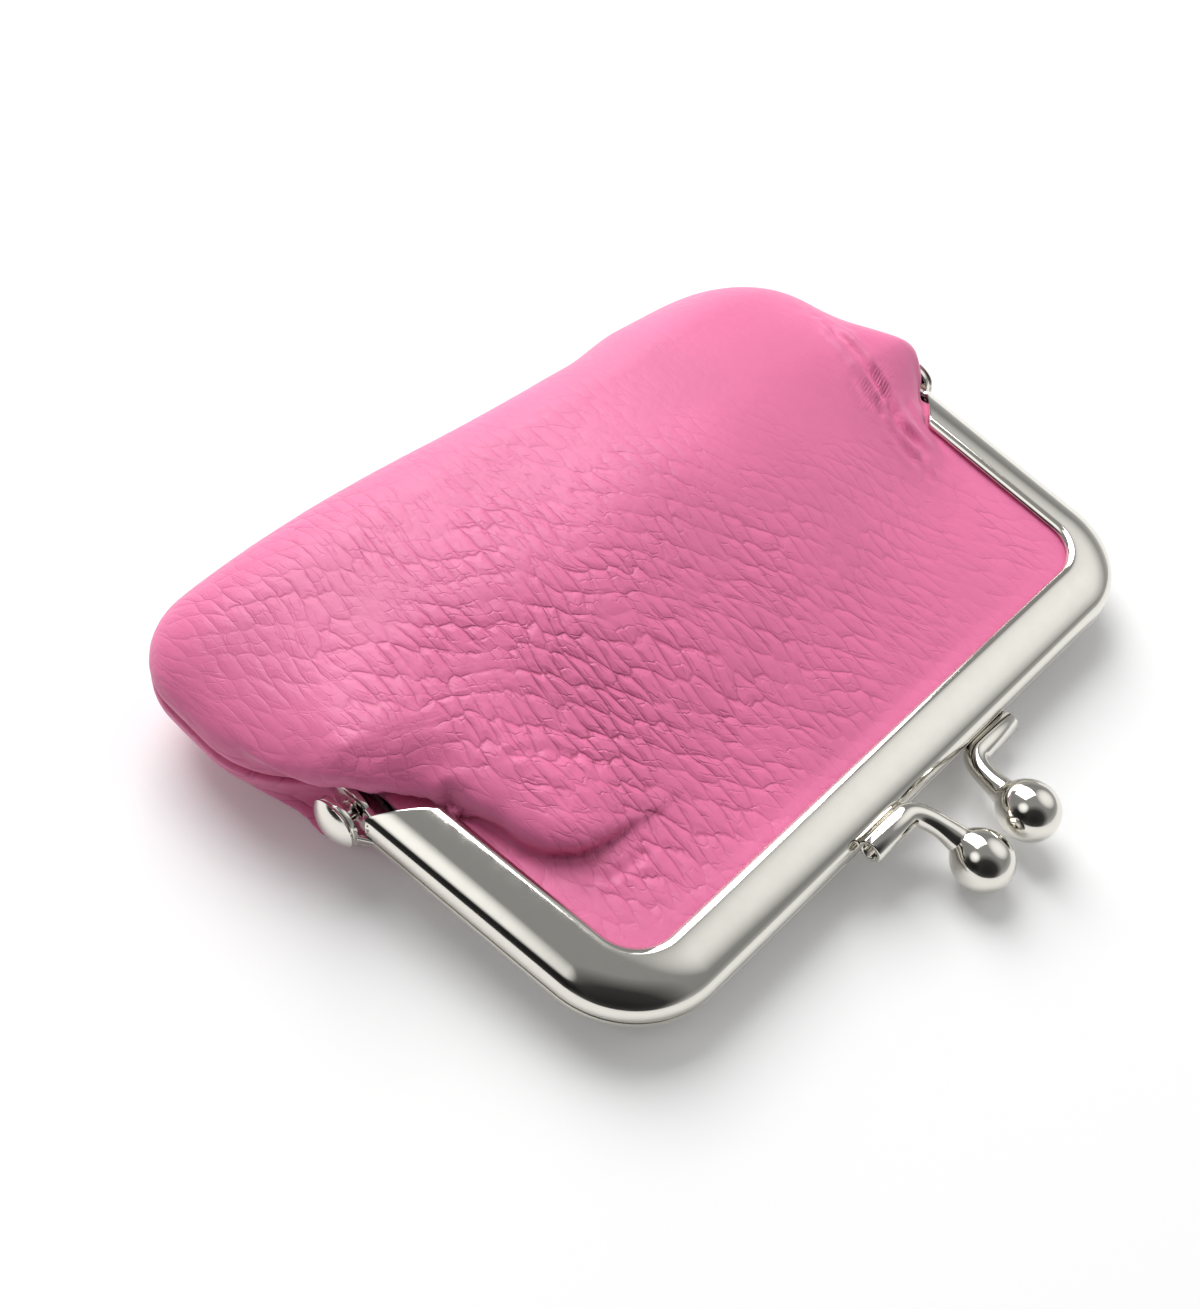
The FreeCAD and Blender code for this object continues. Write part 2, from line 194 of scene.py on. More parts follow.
class PursePouchSizes(bpy.types.PropertyGroup):
    """Sizes of the leather pouch."""

    half_width: length("Left width", "From the middle to the fuller left side", 0.0484)
    right_width: length("Right width", "From the middle to the drawn-in right side", 0.0427)
    bottom: length("Bottom", "Pouch bottom past the hinge axis", 0.030)
    sag: length("Sag", "How far the bottom is drawn up", 0.00125)
    corner: length("Bottom roll", "Length over which the bottom rolls down", 0.011)
    left_corner: length("Left corner", "Radius of the left corner", 0.0096)
    right_corner: length("Right corner", "Radius of the right corner", 0.0155)
    neck_half: length("Neck half", "Half the leather's width at the hinge", 0.040782)
    shoulder: length("Shoulder", "Length of the flaring shoulder", 0.0115)
    shoulder_turn: angle("Shoulder turn", "Turn of the shoulder's curve", 64.0)
    slot_depth: length("Slot depth", "Leather tucked into the channel", 0.003)
    slot_level: length("Slot level", "Height of the leather in the slot", 0.00253)
    lip_gap: length("Lip gap", "Flat strip beside the frame's lip", 0.0016)
    front_height: length("Front height", "Height of the front panel", 0.0090)
    front_rise: length("Front rise", "Length over which the front swells", 0.036)
    rear_depth: length("Rear depth", "Depth of the rear at the hinge axis", 0.0075)
    rear_rise: length("Rear rise", "Length over which the rear swells", 0.008)
    rest_depth: length("Rest depth", "Table below the hinge axis", 0.0071)
    turned_edge: length("Turned edge", "How far the seam edge is tucked in", 0.0010)
    roll_height: length("Roll height", "Height of the rolled edge above the seam", 0.0009)
    seam_half: length("Seam half", "Half the gap that the thread fills", 0.0002)
    seam_inset: length("Seam inset", "Thread inside the sewn edge", 0.0008)
    thread_radius: length("Thread radius", "Radius of the seam thread", 0.00015)
    thread_start: length("Thread start", "Where the thread starts past the hinge eyes", 0.001)
    leather: length("Leather", "Thickness of the leather shown at its edges", 0.0007)
    lining_inset: length("Lining inset", "Lining inside the leather's face", 0.0013)
    lining: length("Lining", "Thickness of the lining", 0.00035)
    leather_width: length("Leather width", "Width of the piece that a leather panel is cut from", 0.107)
    leather_length: length("Leather length", "Length of the piece that a leather panel is cut from", 0.088)
    leather_area: area("Leather area", "Flat area of a leather panel with its seam turn", 0.0055)
    lining_width: length("Lining width", "Width of the piece that a lining panel is cut from", 0.097)
    lining_length: length("Lining length", "Length of the piece that a lining panel is cut from", 0.084)
    lining_area: area("Lining area", "Flat area of a lining panel", 0.0052)
    bend_start: length("Bend start", "Where the front sheets start to bend, past the hinge axis", 0.018)
    bend_end: length("Bend end", "Where the front sheets stop bending, before the hinge axis", 0.008)
    across: count("Across", "Mesh columns of the leather", 258)
    along: count("Along", "Mesh rows of the leather", 166)


class PurseFormSizes(bpy.types.PropertyGroup):
    """Sizes of the swells, folds and rolls in the leather; places along are from the hinge axis."""

    ease: length("Ease", "Softening of the outline where the shoulder starts", 0.0026)
    ease_start: length("Ease start", "Where that softening starts", -0.006)
    ease_rise: length("Ease rise", "Length over which it grows", 0.004)
    ease_end: length("Ease end", "Where it starts to fade", 0.006)
    ease_fall: length("Ease fall", "Length over which it fades", 0.008)
    crest_drop: length("Crest drop", "Fall of the front past its crest", 0.0009)
    crest_start: length("Crest start", "Where the front starts to fall", 0.002)
    crest_run: length("Crest run", "Length over which it falls", 0.022)
    plump_start: length("Plump start", "Where the front turns from a hill to a plump roll", -0.026)
    plump_run: length("Plump run", "Length over which it turns", 0.020)
    rim: length("Rim", "Strip beside the arms that stays with the frame", 0.009)
    rim_fade: length("Rim fade", "Width over which that strip ends", 0.007)
    loose_start: length("Loose start", "Where the middle starts to leave the frame", -0.019)
    loose_run: length("Loose run", "Length over which it leaves", 0.027)
    drawn_start: length("Drawn start", "Where the drawn-up bottom starts", 0.010)
    drawn_run: length("Drawn run", "Length over which the bottom is drawn up", 0.020)
    fold_reach: length("Fold reach", "Spread of the left fold from its ridge", 0.0064)
    fold_edge: length("Fold edge", "Width over which the fold starts at its line", 0.0005)
    wall_height: length("Wall height", "Height of the fold's wall", 0.0027)
    wall_run: length("Wall run", "Width of the fold's rounded wall", 0.0026)
    push: length("Push", "How far the wall leans over the frame", 0.0013)
    push_place: length("Push place", "Leaning part from the fold's line", 0.0013)
    push_reach: length("Push reach", "Width of the leaning part", 0.0014)
    crumple: length("Crumple", "Unevenness of the fold", 0.00016)
    crumple_cell: length("Crumple cell", "Size of that unevenness", 0.0019)
    gap_depth: length("Gap depth", "Hollow before the fold", 0.0005)
    gap_place: length("Gap place", "Hollow from the fold's line", 0.0012)
    gap_reach: length("Gap reach", "Width of the hollow", 0.0014)
    roll_x: length("Roll x", "Hinge rolls from the middle", 0.0380)
    roll_wide: length("Roll width", "Width of the hinge rolls", 0.0058)
    roll_y: length("Roll y", "Where the hinge rolls are highest", 0.0016)
    roll_long: length("Roll length", "Length of the hinge rolls", 0.0075)
    roll_low: length("Roll low", "Height from which the hinge rolls stand out", 0.0016)
    roll_rise: length("Roll rise", "Height over which they do", 0.0024)
    side_start: length("Side start", "From the middle to where the sides stand out", 0.026)
    side_run: length("Side run", "Width over which they do", 0.012)
    crinkle: length("Crinkle", "Depth of the crinkles by the right crease", 0.00020)
    crinkle_cell: length("Crinkle cell", "Size of the crinkles", 0.0016)
    crinkle_reach: length("Crinkle reach", "Spread of the crinkles", 0.0022)
    dent: length("Dent", "Depth of the dent by the right arm", 0.0009)
    dent_x: length("Dent x", "Dent from the middle", 0.027)
    dent_y: length("Dent y", "Dent before the hinge axis", 0.010)
    dent_reach: length("Dent reach", "Spread of the dent", 0.0085)
    wave: length("Wave", "Unevenness of the loose front", 0.00040)
    wave_cell: length("Wave cell", "Size of that unevenness", 0.017)
    wave_start: length("Wave start", "How far ahead of the free leather it starts", 0.010)
    tuck: length("Tuck", "Strip by the lip that stays down", 0.0012)
    tuck_fade: length("Tuck fade", "Width over which that strip starts", 0.0010)
    tuck_end: length("Tuck end", "Where the strip and the rear's hold end, before the hinge axis", 0.0072)
    tuck_run: length("Tuck run", "Length over which the strip ends", 0.0016)
    bulge_run: length("Bulge run", "Length over which the rear bulges start", 0.0034)
    bulge_high: length("Bulge height", "Height of the rear bulges", 0.0018)
    bulge_y: length("Bulge y", "Where they are highest, before the hinge axis", 0.0016)
    bulge_long: length("Bulge length", "Length of the rear bulges", 0.0052)
    bulge_x: length("Bulge x", "Rear bulges from the middle", 0.0385)
    bulge_wide: length("Bulge width", "Width of the rear bulges", 0.0044)
    bulge_low: length("Bulge low", "Height from which they stand out", 0.0026)
    bulge_rise: length("Bulge rise", "Height over which they do", 0.0020)
    bulge_left: length("Left bulge", "How far the left one stands out", 0.0060)
    bulge_right: length("Right bulge", "How far the right one stands out", 0.0040)
    bulge_out_y: length("Bulge out y", "Where they stand out most, before the hinge axis", 0.0010)
    bulge_out_long: length("Bulge out length", "Length over which they stand out", 0.0072)
    rear_wave: length("Rear wave", "Unevenness of the rear", 0.0003)
    rear_wave_cell: length("Rear wave cell", "Size of that unevenness", 0.015)


class PurseGrainSizes(bpy.types.PropertyGroup):
    """Sizes of the leather's grain; places along are from the hinge axis."""

    cell_long: length("Cell length", "Length of a grain cell", 0.0033)
    cell_wide: length("Cell width", "Width of a grain cell", 0.0023)
    depth: length("Depth", "Depth of the grain's furrows", 0.00011)
    bend: length("Bend", "How far the rows of cells waver", 0.0016)
    bend_cell: length("Bend cell", "Length over which they waver", 0.011)
    deep_x: length("Deep x", "Deepest grain from the middle", -0.021)
    deep_y: length("Deep y", "Deepest grain along", -0.009)
    deep_reach: length("Deep reach", "Spread of the deepest grain", 0.021)
    faint_start: length("Faint start", "Where the grain starts to fade to the far right", 0.002)
    faint_run: length("Faint run", "Length over which it fades", 0.026)
    plain_x: length("Plain x", "Smooth patch from the middle", 0.022)
    plain_y: length("Plain y", "Smooth patch along", 0.006)
    plain_reach: length("Plain reach", "Spread of the smooth patch", 0.016)
    strip: length("Strip", "Smoother strip beside the arms", 0.0015)
    strip_fade: length("Strip fade", "Width over which that strip ends", 0.004)
    bar_strip: length("Bar strip", "Smoother strip at the bar", 0.0006)
    bar_fade: length("Bar fade", "Width over which that strip ends", 0.003)
    rim_start: length("Rim start", "From the middle to where the sides grow smoother", 0.036)
    rim_run: length("Rim run", "Width over which they do", 0.009)
    patch_cell: length("Patch cell", "Size of the front's deeper and fainter patches", 0.009)
    rear_patch_cell: length("Rear patch cell", "Size of the rear's patches", 0.02)
    table_fade: length("Table fade", "Height above the table over which the rear's grain flattens", 0.0006)


class PurseFinish(bpy.types.PropertyGroup):
    """Colours of the purse."""

    nickel: colour("Nickel", "Reflected colour of the plating", (0.80, 0.775, 0.715))
    leather: colour("Leather", "Lit colour of the leather", (0.815, 0.176, 0.372))
    # Painted shade: the colour that the grain's furrows are darkened towards, standing in for the shade that
    # falls in them
    shaded_furrow: colour("Furrow", "Colour in the grain's furrows", (0.44, 0.045, 0.125))
    lining: colour("Lining", "Colour of the lining cloth", (0.62, 0.36, 0.44))
    paper: colour("Paper", "Colour of the paper cords", (0.56, 0.43, 0.27))
    thread: colour("Thread", "Colour of the seam thread", (0.66, 0.15, 0.33))
    floor: colour("Floor", "Colour of the table", (0.93, 0.93, 0.93))


class PurseStage(bpy.types.PropertyGroup):
    """Camera and light."""

    lens: FloatProperty(name="Lens", description="Focal length", default=43.62, unit="CAMERA")
    camera_place: location("Camera place", "Where the camera stands", (-0.0912, -0.055618, 0.132319))
    camera_turn: FloatVectorProperty(
        name="Camera turn", description="How the camera is turned", size=3,
        default=(math.radians(38.245), math.radians(-4.474), math.radians(-46.43)), subtype="EULER",
    )
    camera_near: length("Camera near", "Nearest distance that the camera sees", 0.005)
    table_half: length("Table half", "Half the table's side", 3.0)
    key_place: location("Key place", "Where the key light stands", (0.20, 0.48, 0.62))
    key_size: length("Key size", "Side of the key light", 0.60)
    key_power: wattage("Key power", "Power of the key light", 6.5)
    rim_place: location("Rim place", "Where the rim light stands", (0.34, 0.66, 0.26))
    rim_size: length("Rim size", "Side of the rim light", 0.40)
    rim_power: wattage("Rim power", "Power of the rim light", 0.8)


def sizes(group):
    """One of the scene's groups of sizes."""
    return getattr(bpy.context.scene, "purse_" + group)


def placing():
    """Matrix from the purse's own frame to the row's."""
    return Matrix.Translation(HINGE) @ Matrix.Rotation(sizes("frame").tilt, 4, "X")


def smooth(share):
    """Even rise from zero to one, for numbers and arrays."""
    share = np.clip(share, 0.0, 1.0)
    return share * share * (3 - 2 * share)


def hump(distance, reach):
    """Bell of height one and the given reach."""
    return np.exp(-(np.asarray(distance) / reach) ** 2)


# Frame geometry shared by metal and leather


def inner_half(y):
    """Half the width between the frame's arms at a place along them."""
    f = sizes("frame")
    return f.width / 2 - f.band + (y + f.arm_length) * math.tan(f.splay)


def eye_plane():
    """Outer face of the rear hinge eye on the right."""
    f = sizes("frame")
    return inner_half(0.0) + f.band / math.cos(f.splay) + sizes("hinge").outset


# Mesh helpers


def keep_piece(name, bm, finish, body, nodes, sharp_angle=None):
    """Makes the object of a finished mesh, with its finish and body, and hides the nodes that it stands for.
    """
    bmesh.ops.transform(bm, matrix=placing(), verts=bm.verts)
    mesh = bpy.data.meshes.new(name)
    bm.to_mesh(mesh)
    bm.free()
    mesh.shade_smooth()
    if sharp_angle is not None:
        mesh.set_sharp_from_angle(angle=sharp_angle)
    mesh.materials.append(finish)
    obj = bpy.data.objects.new(name, mesh)
    bpy.context.scene.collection.objects.link(obj)
    if body is not None:
        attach(obj, body)
    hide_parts(*nodes)
    return obj


def line_to(bm, vert, point):
    """Draws an outline on to a point and returns its new vertex."""
    new = bmesh.ops.extrude_vert_indiv(bm, verts=[vert])["verts"][0]
    new.co = point
    return new


def arc_about(bm, vert, centre, axis, turn, steps):
    """Draws an outline on round a centre and returns its new vertex."""
    for _ in range(steps):
        step = Matrix.Rotation(turn / steps, 3, axis)
        vert = line_to(bm, vert, centre + step @ (vert.co - centre))
    return vert


def extruded(bm, edges):
    """Extrudes edges and returns the new edges and vertices."""
    made = bmesh.ops.extrude_edge_only(bm, edges=edges)["geom"]
    verts = [g for g in made if isinstance(g, bmesh.types.BMVert)]
    return [g for g in made if isinstance(g, bmesh.types.BMEdge)], verts


def tube_through(rings, steps):
    """Tube through rings of a centre, heading and radius, closed at its start, and its last edges."""
    bm = bmesh.new()
    turn_layer = bm.verts.layers.int.new("turn")
    verts = bmesh.ops.create_circle(bm, segments=steps, radius=1.0)["verts"]
    for k, v in enumerate(verts):
        v[turn_layer] = k
    edges = bm.edges[:]
    for step, (centre, heading, radius) in enumerate(rings):
        if step > 0:
            edges, verts = extruded(bm, edges)
        upright = (UP - heading * heading.z).normalized()
        side = heading.cross(upright)
        for v in verts:
            turn = 2 * math.pi * v[turn_layer] / steps
            v.co = centre + (upright * math.cos(turn) + side * math.sin(turn)) * radius
        if step == 0:
            bmesh.ops.contextual_create(bm, geom=edges)
    return bm, edges


def turned_over(bm, centre_x):
    """Turns a front piece half round to make the rear one."""
    about = Vector((centre_x, 0.0, 0.0))
    bmesh.ops.rotate(bm, verts=bm.verts, cent=about, matrix=Matrix.Rotation(math.pi, 3, "Y"))


def round_edges(bm, offset, least_angle, segments=3):
    """Rounds every edge that is sharper than an angle."""
    edges = [e for e in bm.edges if len(e.link_faces) == 2 and e.calc_face_angle() > least_angle]
    bmesh.ops.bevel(
        bm, geom=edges, offset=offset, offset_type="OFFSET", segments=segments, profile=0.5,
        affect="EDGES", material=-1, clamp_overlap=True, loop_slide=True,
    )


# Frame halves


def channel_section(bm):
    """Closed outline of the rolled channel in the plane across the bar's middle; returns its edges."""
    f = sizes("frame")
    span = f.band - f.roll_radius - f.lip_width
    rise = f.half_depth - f.wall_height
    crown_radius = (span ** 2 + rise ** 2 - f.roll_radius ** 2) / (2 * (rise - f.roll_radius))
    crown_turn = math.asin(span / (crown_radius - f.roll_radius))
    roll_turn = math.pi / 2 - crown_turn
    lip_radius = (f.lip_width ** 2 + f.lip_drop ** 2) / (2 * f.lip_drop)
    lip_turn = math.asin(f.lip_width / lip_radius)
    bar_y = -f.arm_length
    foot = f.seam_gap / 2
    roll_steps = 16
    crown_steps = 14
    lip_steps = 6
    inner_steps = 8

    def spot(outside, height):
        return Vector((0.0, bar_y - outside, height))

    roll = spot(f.band - f.roll_radius, f.wall_height)
    crown = spot(f.lip_width, f.half_depth - crown_radius)
    lip = spot(f.lip_width, f.half_depth - lip_radius)
    inward = Vector((0.0, math.sin(lip_turn), math.cos(lip_turn)))
    first = bm.verts.new(spot(f.band, foot))
    vert = line_to(bm, first, spot(f.band, f.wall_height))
    vert = arc_about(bm, vert, roll, "X", -roll_turn, roll_steps)
    vert = arc_about(bm, vert, crown, "X", -crown_turn, crown_steps)
    vert = arc_about(bm, vert, lip, "X", -lip_turn, lip_steps)
    vert = line_to(bm, vert, lip + inward * (lip_radius - f.sheet))
    vert = arc_about(bm, vert, lip, "X", lip_turn, lip_steps)
    vert = arc_about(bm, vert, crown, "X", crown_turn, inner_steps)
    vert = arc_about(bm, vert, roll, "X", roll_turn, inner_steps)
    vert = line_to(bm, vert, spot(f.band - f.sheet, foot))
    bm.edges.new((vert, first))
    return list(bm.edges)


def frame_half(front):
    """One frame half, front side up: channel led round the bar, a corner and an arm, mirrored."""
    f = sizes("frame")
    h = sizes("hinge")
    bm = bmesh.new()
    edges = channel_section(bm)
    turn = math.pi / 2 - f.splay
    centre_x = f.width / 2 - f.band - f.corner_radius * math.tan(turn / 2)
    centre = Vector((centre_x, f.corner_radius - f.arm_length, 0.0))
    edges, verts = extruded(bm, edges)
    bmesh.ops.translate(bm, verts=verts, vec=(centre_x, 0.0, 0.0))
    spun = bmesh.ops.spin(bm, geom=edges, cent=centre, axis=(0, 0, 1), angle=turn, steps=f.corner_steps)
    edges = [g for g in spun["geom_last"] if isinstance(g, bmesh.types.BMEdge)]
    heading = Vector((math.sin(f.splay), math.cos(f.splay), 0.0))
    slope = math.tan(f.end_slant)
    end_x = inner_half(-f.flange_end)

    def to_end(point):
        """Way along the arm from a point to the slanted end."""
        gap = -f.flange_end + (point.x - end_x) * slope - point.y
        return gap / (heading.y - heading.x * slope)

    plain_share = 0.45
    shares = [plain_share + (1 - plain_share) * k / f.end_steps for k in range(f.end_steps + 1)]
    done = 0.0
    for share in shares:
        edges, verts = extruded(bm, edges)
        part = (share - done) / (1 - done)
        for v in verts:
            v.co += heading * (to_end(v.co) * part)
        done = share
    bmesh.ops.contextual_create(bm, geom=edges)
    clear_hinge(bm)
    bmesh.ops.mirror(bm, geom=bm.verts[:] + bm.edges[:] + bm.faces[:], axis="X", merge_dist=MIRROR_MERGE)
    bmesh.ops.remove_doubles(bm, verts=bm.verts, dist=MERGE)
    middle = [face for face in bm.faces if all(abs(v.co.x) < MERGE for v in face.verts)]
    bmesh.ops.delete(bm, geom=middle, context="FACES")
    bmesh.ops.recalc_face_normals(bm, faces=bm.faces)
    round_edges(bm, f.edge_round, SHARP)
    eye_x = eye_plane() - (h.joggle if front else 0.0)
    for side in (1, -1):
        hinge_tab(bm, side, eye_x)
        hinge_eye(bm, side * (eye_x - f.sheet / 2))
    return bm


def clear_hinge(bm):
    """Cuts the channel's outer wall back round the hinge eyes."""
    h = sizes("hinge")
    relief_x = eye_plane() - h.joggle
    for v in bm.verts:
        inside = h.relief ** 2 - v.co.z ** 2
        if v.co.x > relief_x and inside > 0:
            near = float(smooth((v.co.x - relief_x) / h.relief_fade))
            v.co.y += (min(v.co.y, -math.sqrt(inside)) - v.co.y) * near


def hinge_tab(bm, side, eye_x):
    """Adds the neck that runs on from the channel's roll, steps out or in and flattens into a hinge eye."""
    f = sizes("frame")
    h = sizes("hinge")
    overlap_share = 0.6
    end_share = 0.94
    waist_share = 0.12
    step_y = -h.eye_radius * overlap_share - h.bend
    start_y = step_y - h.root
    new = bmesh.new()
    vert = None
    steps = 26
    for k in range(steps + 1):
        y = start_y - start_y * end_share * k / steps
        wall_x = inner_half(y) + f.band / math.cos(f.splay) - h.tab_sink
        x = wall_x + (eye_x - wall_x) * float(smooth((y - step_y) / h.bend))
        place = Vector((side * x, y, f.seam_gap / 2))
        vert = new.verts.new(place) if vert is None else line_to(new, vert, place)
    verts = extruded(new, new.edges[:])[1]
    bmesh.ops.translate(new, verts=verts, vec=(-side * f.sheet, 0.0, 0.0))

    def rolled_in(z):
        """How far the channel's roll has turned in at a height."""
        up = min(max(z - f.wall_height, 0.0) / f.roll_radius, 1.0)
        return f.roll_radius * (1 - math.sqrt(1 - up ** 2))

    top = new.faces[:]
    levels = 7
    for k in range(levels):
        made = bmesh.ops.extrude_face_region(new, geom=top)["geom"]
        top = [g for g in made if isinstance(g, bmesh.types.BMFace)]
        for v in (g for g in made if isinstance(g, bmesh.types.BMVert)):
            flat = float(smooth((v.co.y - step_y) / h.bend))
            height = h.rise * (1 - waist_share * float(hump(v.co.y - step_y, h.bend)))
            z = f.seam_gap / 2 + (height - f.seam_gap / 2) * (k + 1) / levels
            v.co.x -= side * (rolled_in(z) - rolled_in(v.co.z)) * (1 - flat)
            v.co.z = z
    bmesh.ops.recalc_face_normals(new, faces=new.faces)
    round_edges(new, f.edge_round, SHARP)
    join(bm, new)


def hinge_eye(bm, x):
    """Adds a round eye with its rivet hole, square to the hinge axis."""
    f = sizes("frame")
    h = sizes("hinge")
    new = bmesh.new()
    for radius in (h.eye_radius, h.shank_radius):
        bmesh.ops.create_circle(new, segments=h.turn_steps, radius=radius)
    bmesh.ops.bridge_loops(new, edges=new.edges[:])
    made = bmesh.ops.extrude_face_region(new, geom=new.faces[:])["geom"]
    verts = [g for g in made if isinstance(g, bmesh.types.BMVert)]
    bmesh.ops.translate(new, verts=verts, vec=(0.0, 0.0, f.sheet))
    bmesh.ops.translate(new, verts=new.verts, vec=(0.0, 0.0, -f.sheet / 2))
    bmesh.ops.recalc_face_normals(new, faces=new.faces)
    round_edges(new, f.edge_round, SHARP)
    turn = Matrix.Translation((x, 0.0, 0.0)) @ Matrix.Rotation(math.pi / 2, 4, "Y")
    bmesh.ops.transform(new, matrix=turn, verts=new.verts)
    join(bm, new)


def join(bm, new):
    """Adds one mesh to another as a shell of its own."""
    mesh = bpy.data.meshes.new("part")
    new.to_mesh(mesh)
    new.free()
    bm.from_mesh(mesh)
    bpy.data.meshes.remove(mesh)


# Rivets


def rivet():
    """Right hand rivet, spun from its outline: domed head, shank and peened end."""
    f = sizes("frame")
    h = sizes("hinge")
    bm = bmesh.new()
    seat = eye_plane()
    inside = seat - h.joggle - f.sheet - f.seam_gap / 2
    dome = h.head_height - h.head_rim
    crown = (h.head_radius ** 2 + dome ** 2) / (2 * dome)
    lean = math.asin(h.head_radius / crown)
    dome_steps = 12
    tip = Vector((seat + h.head_height, 0.0, 0.0))
    vert = bm.verts.new(tip)
    vert = arc_about(bm, vert, tip - Vector((crown, 0.0, 0.0)), "Z", lean, dome_steps)
    for x, radius in (
        (seat + f.edge_round, h.head_radius),
        (seat, h.head_radius - f.edge_round),
        (seat, h.shank_radius),
        (inside, h.shank_radius),
        (inside, h.peen_radius),
        (inside - h.peen_height / 2, h.peen_radius - f.edge_round),
        (inside - h.peen_height, h.shank_radius),
        (inside - h.peen_height, 0.0),
    ):
        vert = line_to(bm, vert, Vector((x, radius, 0.0)))
    bmesh.ops.spin(
        bm, geom=bm.edges[:], cent=(0, 0, 0), axis=(1, 0, 0), angle=2 * math.pi,
        steps=h.turn_steps, use_merge=True,
    )
    bmesh.ops.remove_doubles(bm, verts=bm.verts, dist=MERGE)
    bmesh.ops.recalc_face_normals(bm, faces=bm.faces)
    return bm


# Clasps


def clasp_line():
    """Centres, headings and radii of the rings that a clasp is drawn through, foot to ball."""
    f = sizes("frame")
    c = sizes("clasp")
    wall_y = -f.arm_length - f.band
    axis = Vector((0.0, wall_y - c.foot_seat, c.foot_radius + f.seam_gap / 2 + c.clearance))
    ball = Vector((c.offset - c.spacing / 2, wall_y - c.reach, -c.lift))
    bend = Vector((ball.x - c.lean, axis.y, axis.z))
    start = bend - Vector((c.bend_length, 0.0, 0.0))
    tail = start - Vector((c.foot_length, 0.0, 0.0))
    along = Vector((1.0, 0.0, 0.0))
    bore = c.foot_radius - c.foot_wall
    soft = c.foot_wall / 4
    rings = [
        (tail + along * c.foot_depth, along, bore),
        (tail + along * soft, along, bore),
        (tail, along, bore + soft),
        (tail, along, c.foot_radius - soft),
        (tail + along * soft, along, c.foot_radius),
    ]
    shares = [k / c.neck_steps for k in range(c.neck_steps + 1)]
    line = [start * (1 - s) ** 2 + bend * (2 * s * (1 - s)) + ball * s ** 2 for s in shares]
    fillet_share = 0.6
    rest = 0.0
    ways = [0.0]
    for a, b in zip(reversed(line[1:]), reversed(line[:-1])):
        rest += (a - b).length
        ways.insert(0, rest)
    for share, centre, way in zip(shares, line, ways):
        heading = ((bend - start) * (1 - share) + (ball - bend) * share).normalized()
        thin = c.foot_radius + (c.neck_radius - c.foot_radius) * float(smooth(share * 2))
        round_part = math.sqrt(max(0.0, c.ball_radius ** 2 - way ** 2))
        blend = c.fillet * float(hump(max(0.0, way - c.ball_radius), c.ball_radius * fillet_share))
        radius = (thin + round_part + math.hypot(thin - round_part, blend)) / 2
        cap = float(smooth(1 - way / c.ball_radius))
        rings.append((centre, heading, radius + (round_part - radius) * cap))
    heading = (ball - bend).normalized()
    for k in range(1, c.cap_steps):
        lean = math.pi / 2 * k / c.cap_steps
        centre = ball + heading * (c.ball_radius * math.sin(lean))
        rings.append((centre, heading, c.ball_radius * math.cos(lean)))
    return rings, ball + heading * c.ball_radius


def clasp():
    """Front half's clasp: open tube foot on the bar, neck bent out and flared into its ball."""
    f = sizes("frame")
    c = sizes("clasp")
    rings, pole = clasp_line()
    bm, edges = tube_through(rings, c.ring_steps)
    for v in extruded(bm, edges)[1]:
        v.co = pole
    bmesh.ops.remove_doubles(bm, verts=bm.verts, dist=MERGE)
    wall_y = -f.arm_length - f.band
    for v in bm.verts:
        over = min(max(v.co.z - f.wall_height, 0.0), f.roll_radius)
        v.co.y = min(v.co.y, wall_y + f.roll_radius - math.sqrt(f.roll_radius ** 2 - over ** 2))
    bmesh.ops.recalc_face_normals(bm, faces=bm.faces)
    return bm


# Leather


def slot_end():
    """Place along the arms where the leather's edge leaves the slot."""
    f = sizes("frame")
    return sizes("pouch").slot_depth * math.tan(f.end_slant) - f.flange_end


def freed(y):
    """How far the leather has left the slot: none on the arms, all at the shoulder."""
    start = slot_end()
    return smooth((y - start) / (sizes("hinge").eye_radius - start))


def off_edge(turn):
    """Share of a form that shows: all of it over the panel, and none at the sewn or clamped edge."""
    edge_power = 14
    return 1 - np.abs(turn / (math.pi / 2)) ** edge_power


def outline_half(y, inset, right):
    """Half the leather's width: in the slot between the arms, then out over the shoulder."""
    f = sizes("frame")
    p = sizes("pouch")
    half = p.right_width if right else p.half_width
    corner = p.right_corner if right else p.left_corner
    corner_y = p.bottom - corner
    shoulder_y = sizes("hinge").eye_radius
    side_y = shoulder_y + p.shoulder
    free_y = slot_end()
    drop = np.clip((y - corner_y) / corner, 0.0, 1.0)
    bottom = half - inset - (corner - inset) * (1 - np.sqrt(1 - drop ** 2))
    lean = np.arcsin(np.clip(math.sin(p.shoulder_turn) * (side_y - y) / p.shoulder, 0.0, 1.0))
    drawn_in = (1 - np.cos(lean)) / (1 - math.cos(p.shoulder_turn))
    shoulder = half - inset - (half - p.neck_half) * drawn_in
    edge = inner_half(np.minimum(y, free_y)) + p.slot_depth
    neck = edge + (p.neck_half - inset - edge) * freed(y)
    round_off = f.corner_radius + p.slot_depth
    rise = np.clip(round_off - f.arm_length - p.slot_depth - y, 0.0, round_off)
    slot = edge - round_off + np.sqrt(round_off ** 2 - rise ** 2)
    stretches = [y >= side_y, y >= shoulder_y, y >= free_y]
    return np.select(stretches, [bottom, np.minimum(shoulder, bottom), neck], slot)


def eased_half(y, inset, right):
    """Half the leather's width, with the corner where the shoulder starts eased over a few millimetres."""
    d = sizes("forms")
    fade = 1 - smooth((y - d.ease_end) / d.ease_fall)
    spread = d.ease * smooth((y - d.ease_start) / d.ease_rise) * fade
    shifts = (-1.0, -0.5, 0.0, 0.5, 1.0)
    return sum(outline_half(y + spread * k, inset, right) for k in shifts) / len(shifts)


# How the bottom is drawn up from left to right: each step's height, start from the middle and run
DRAWN_STEPS = (
    (0.0010, -0.037, 0.050),
    (0.00155, -0.026, 0.034),
    (0.0005, 0.005, 0.020),
    (-0.0010, 0.010, 0.009),
)


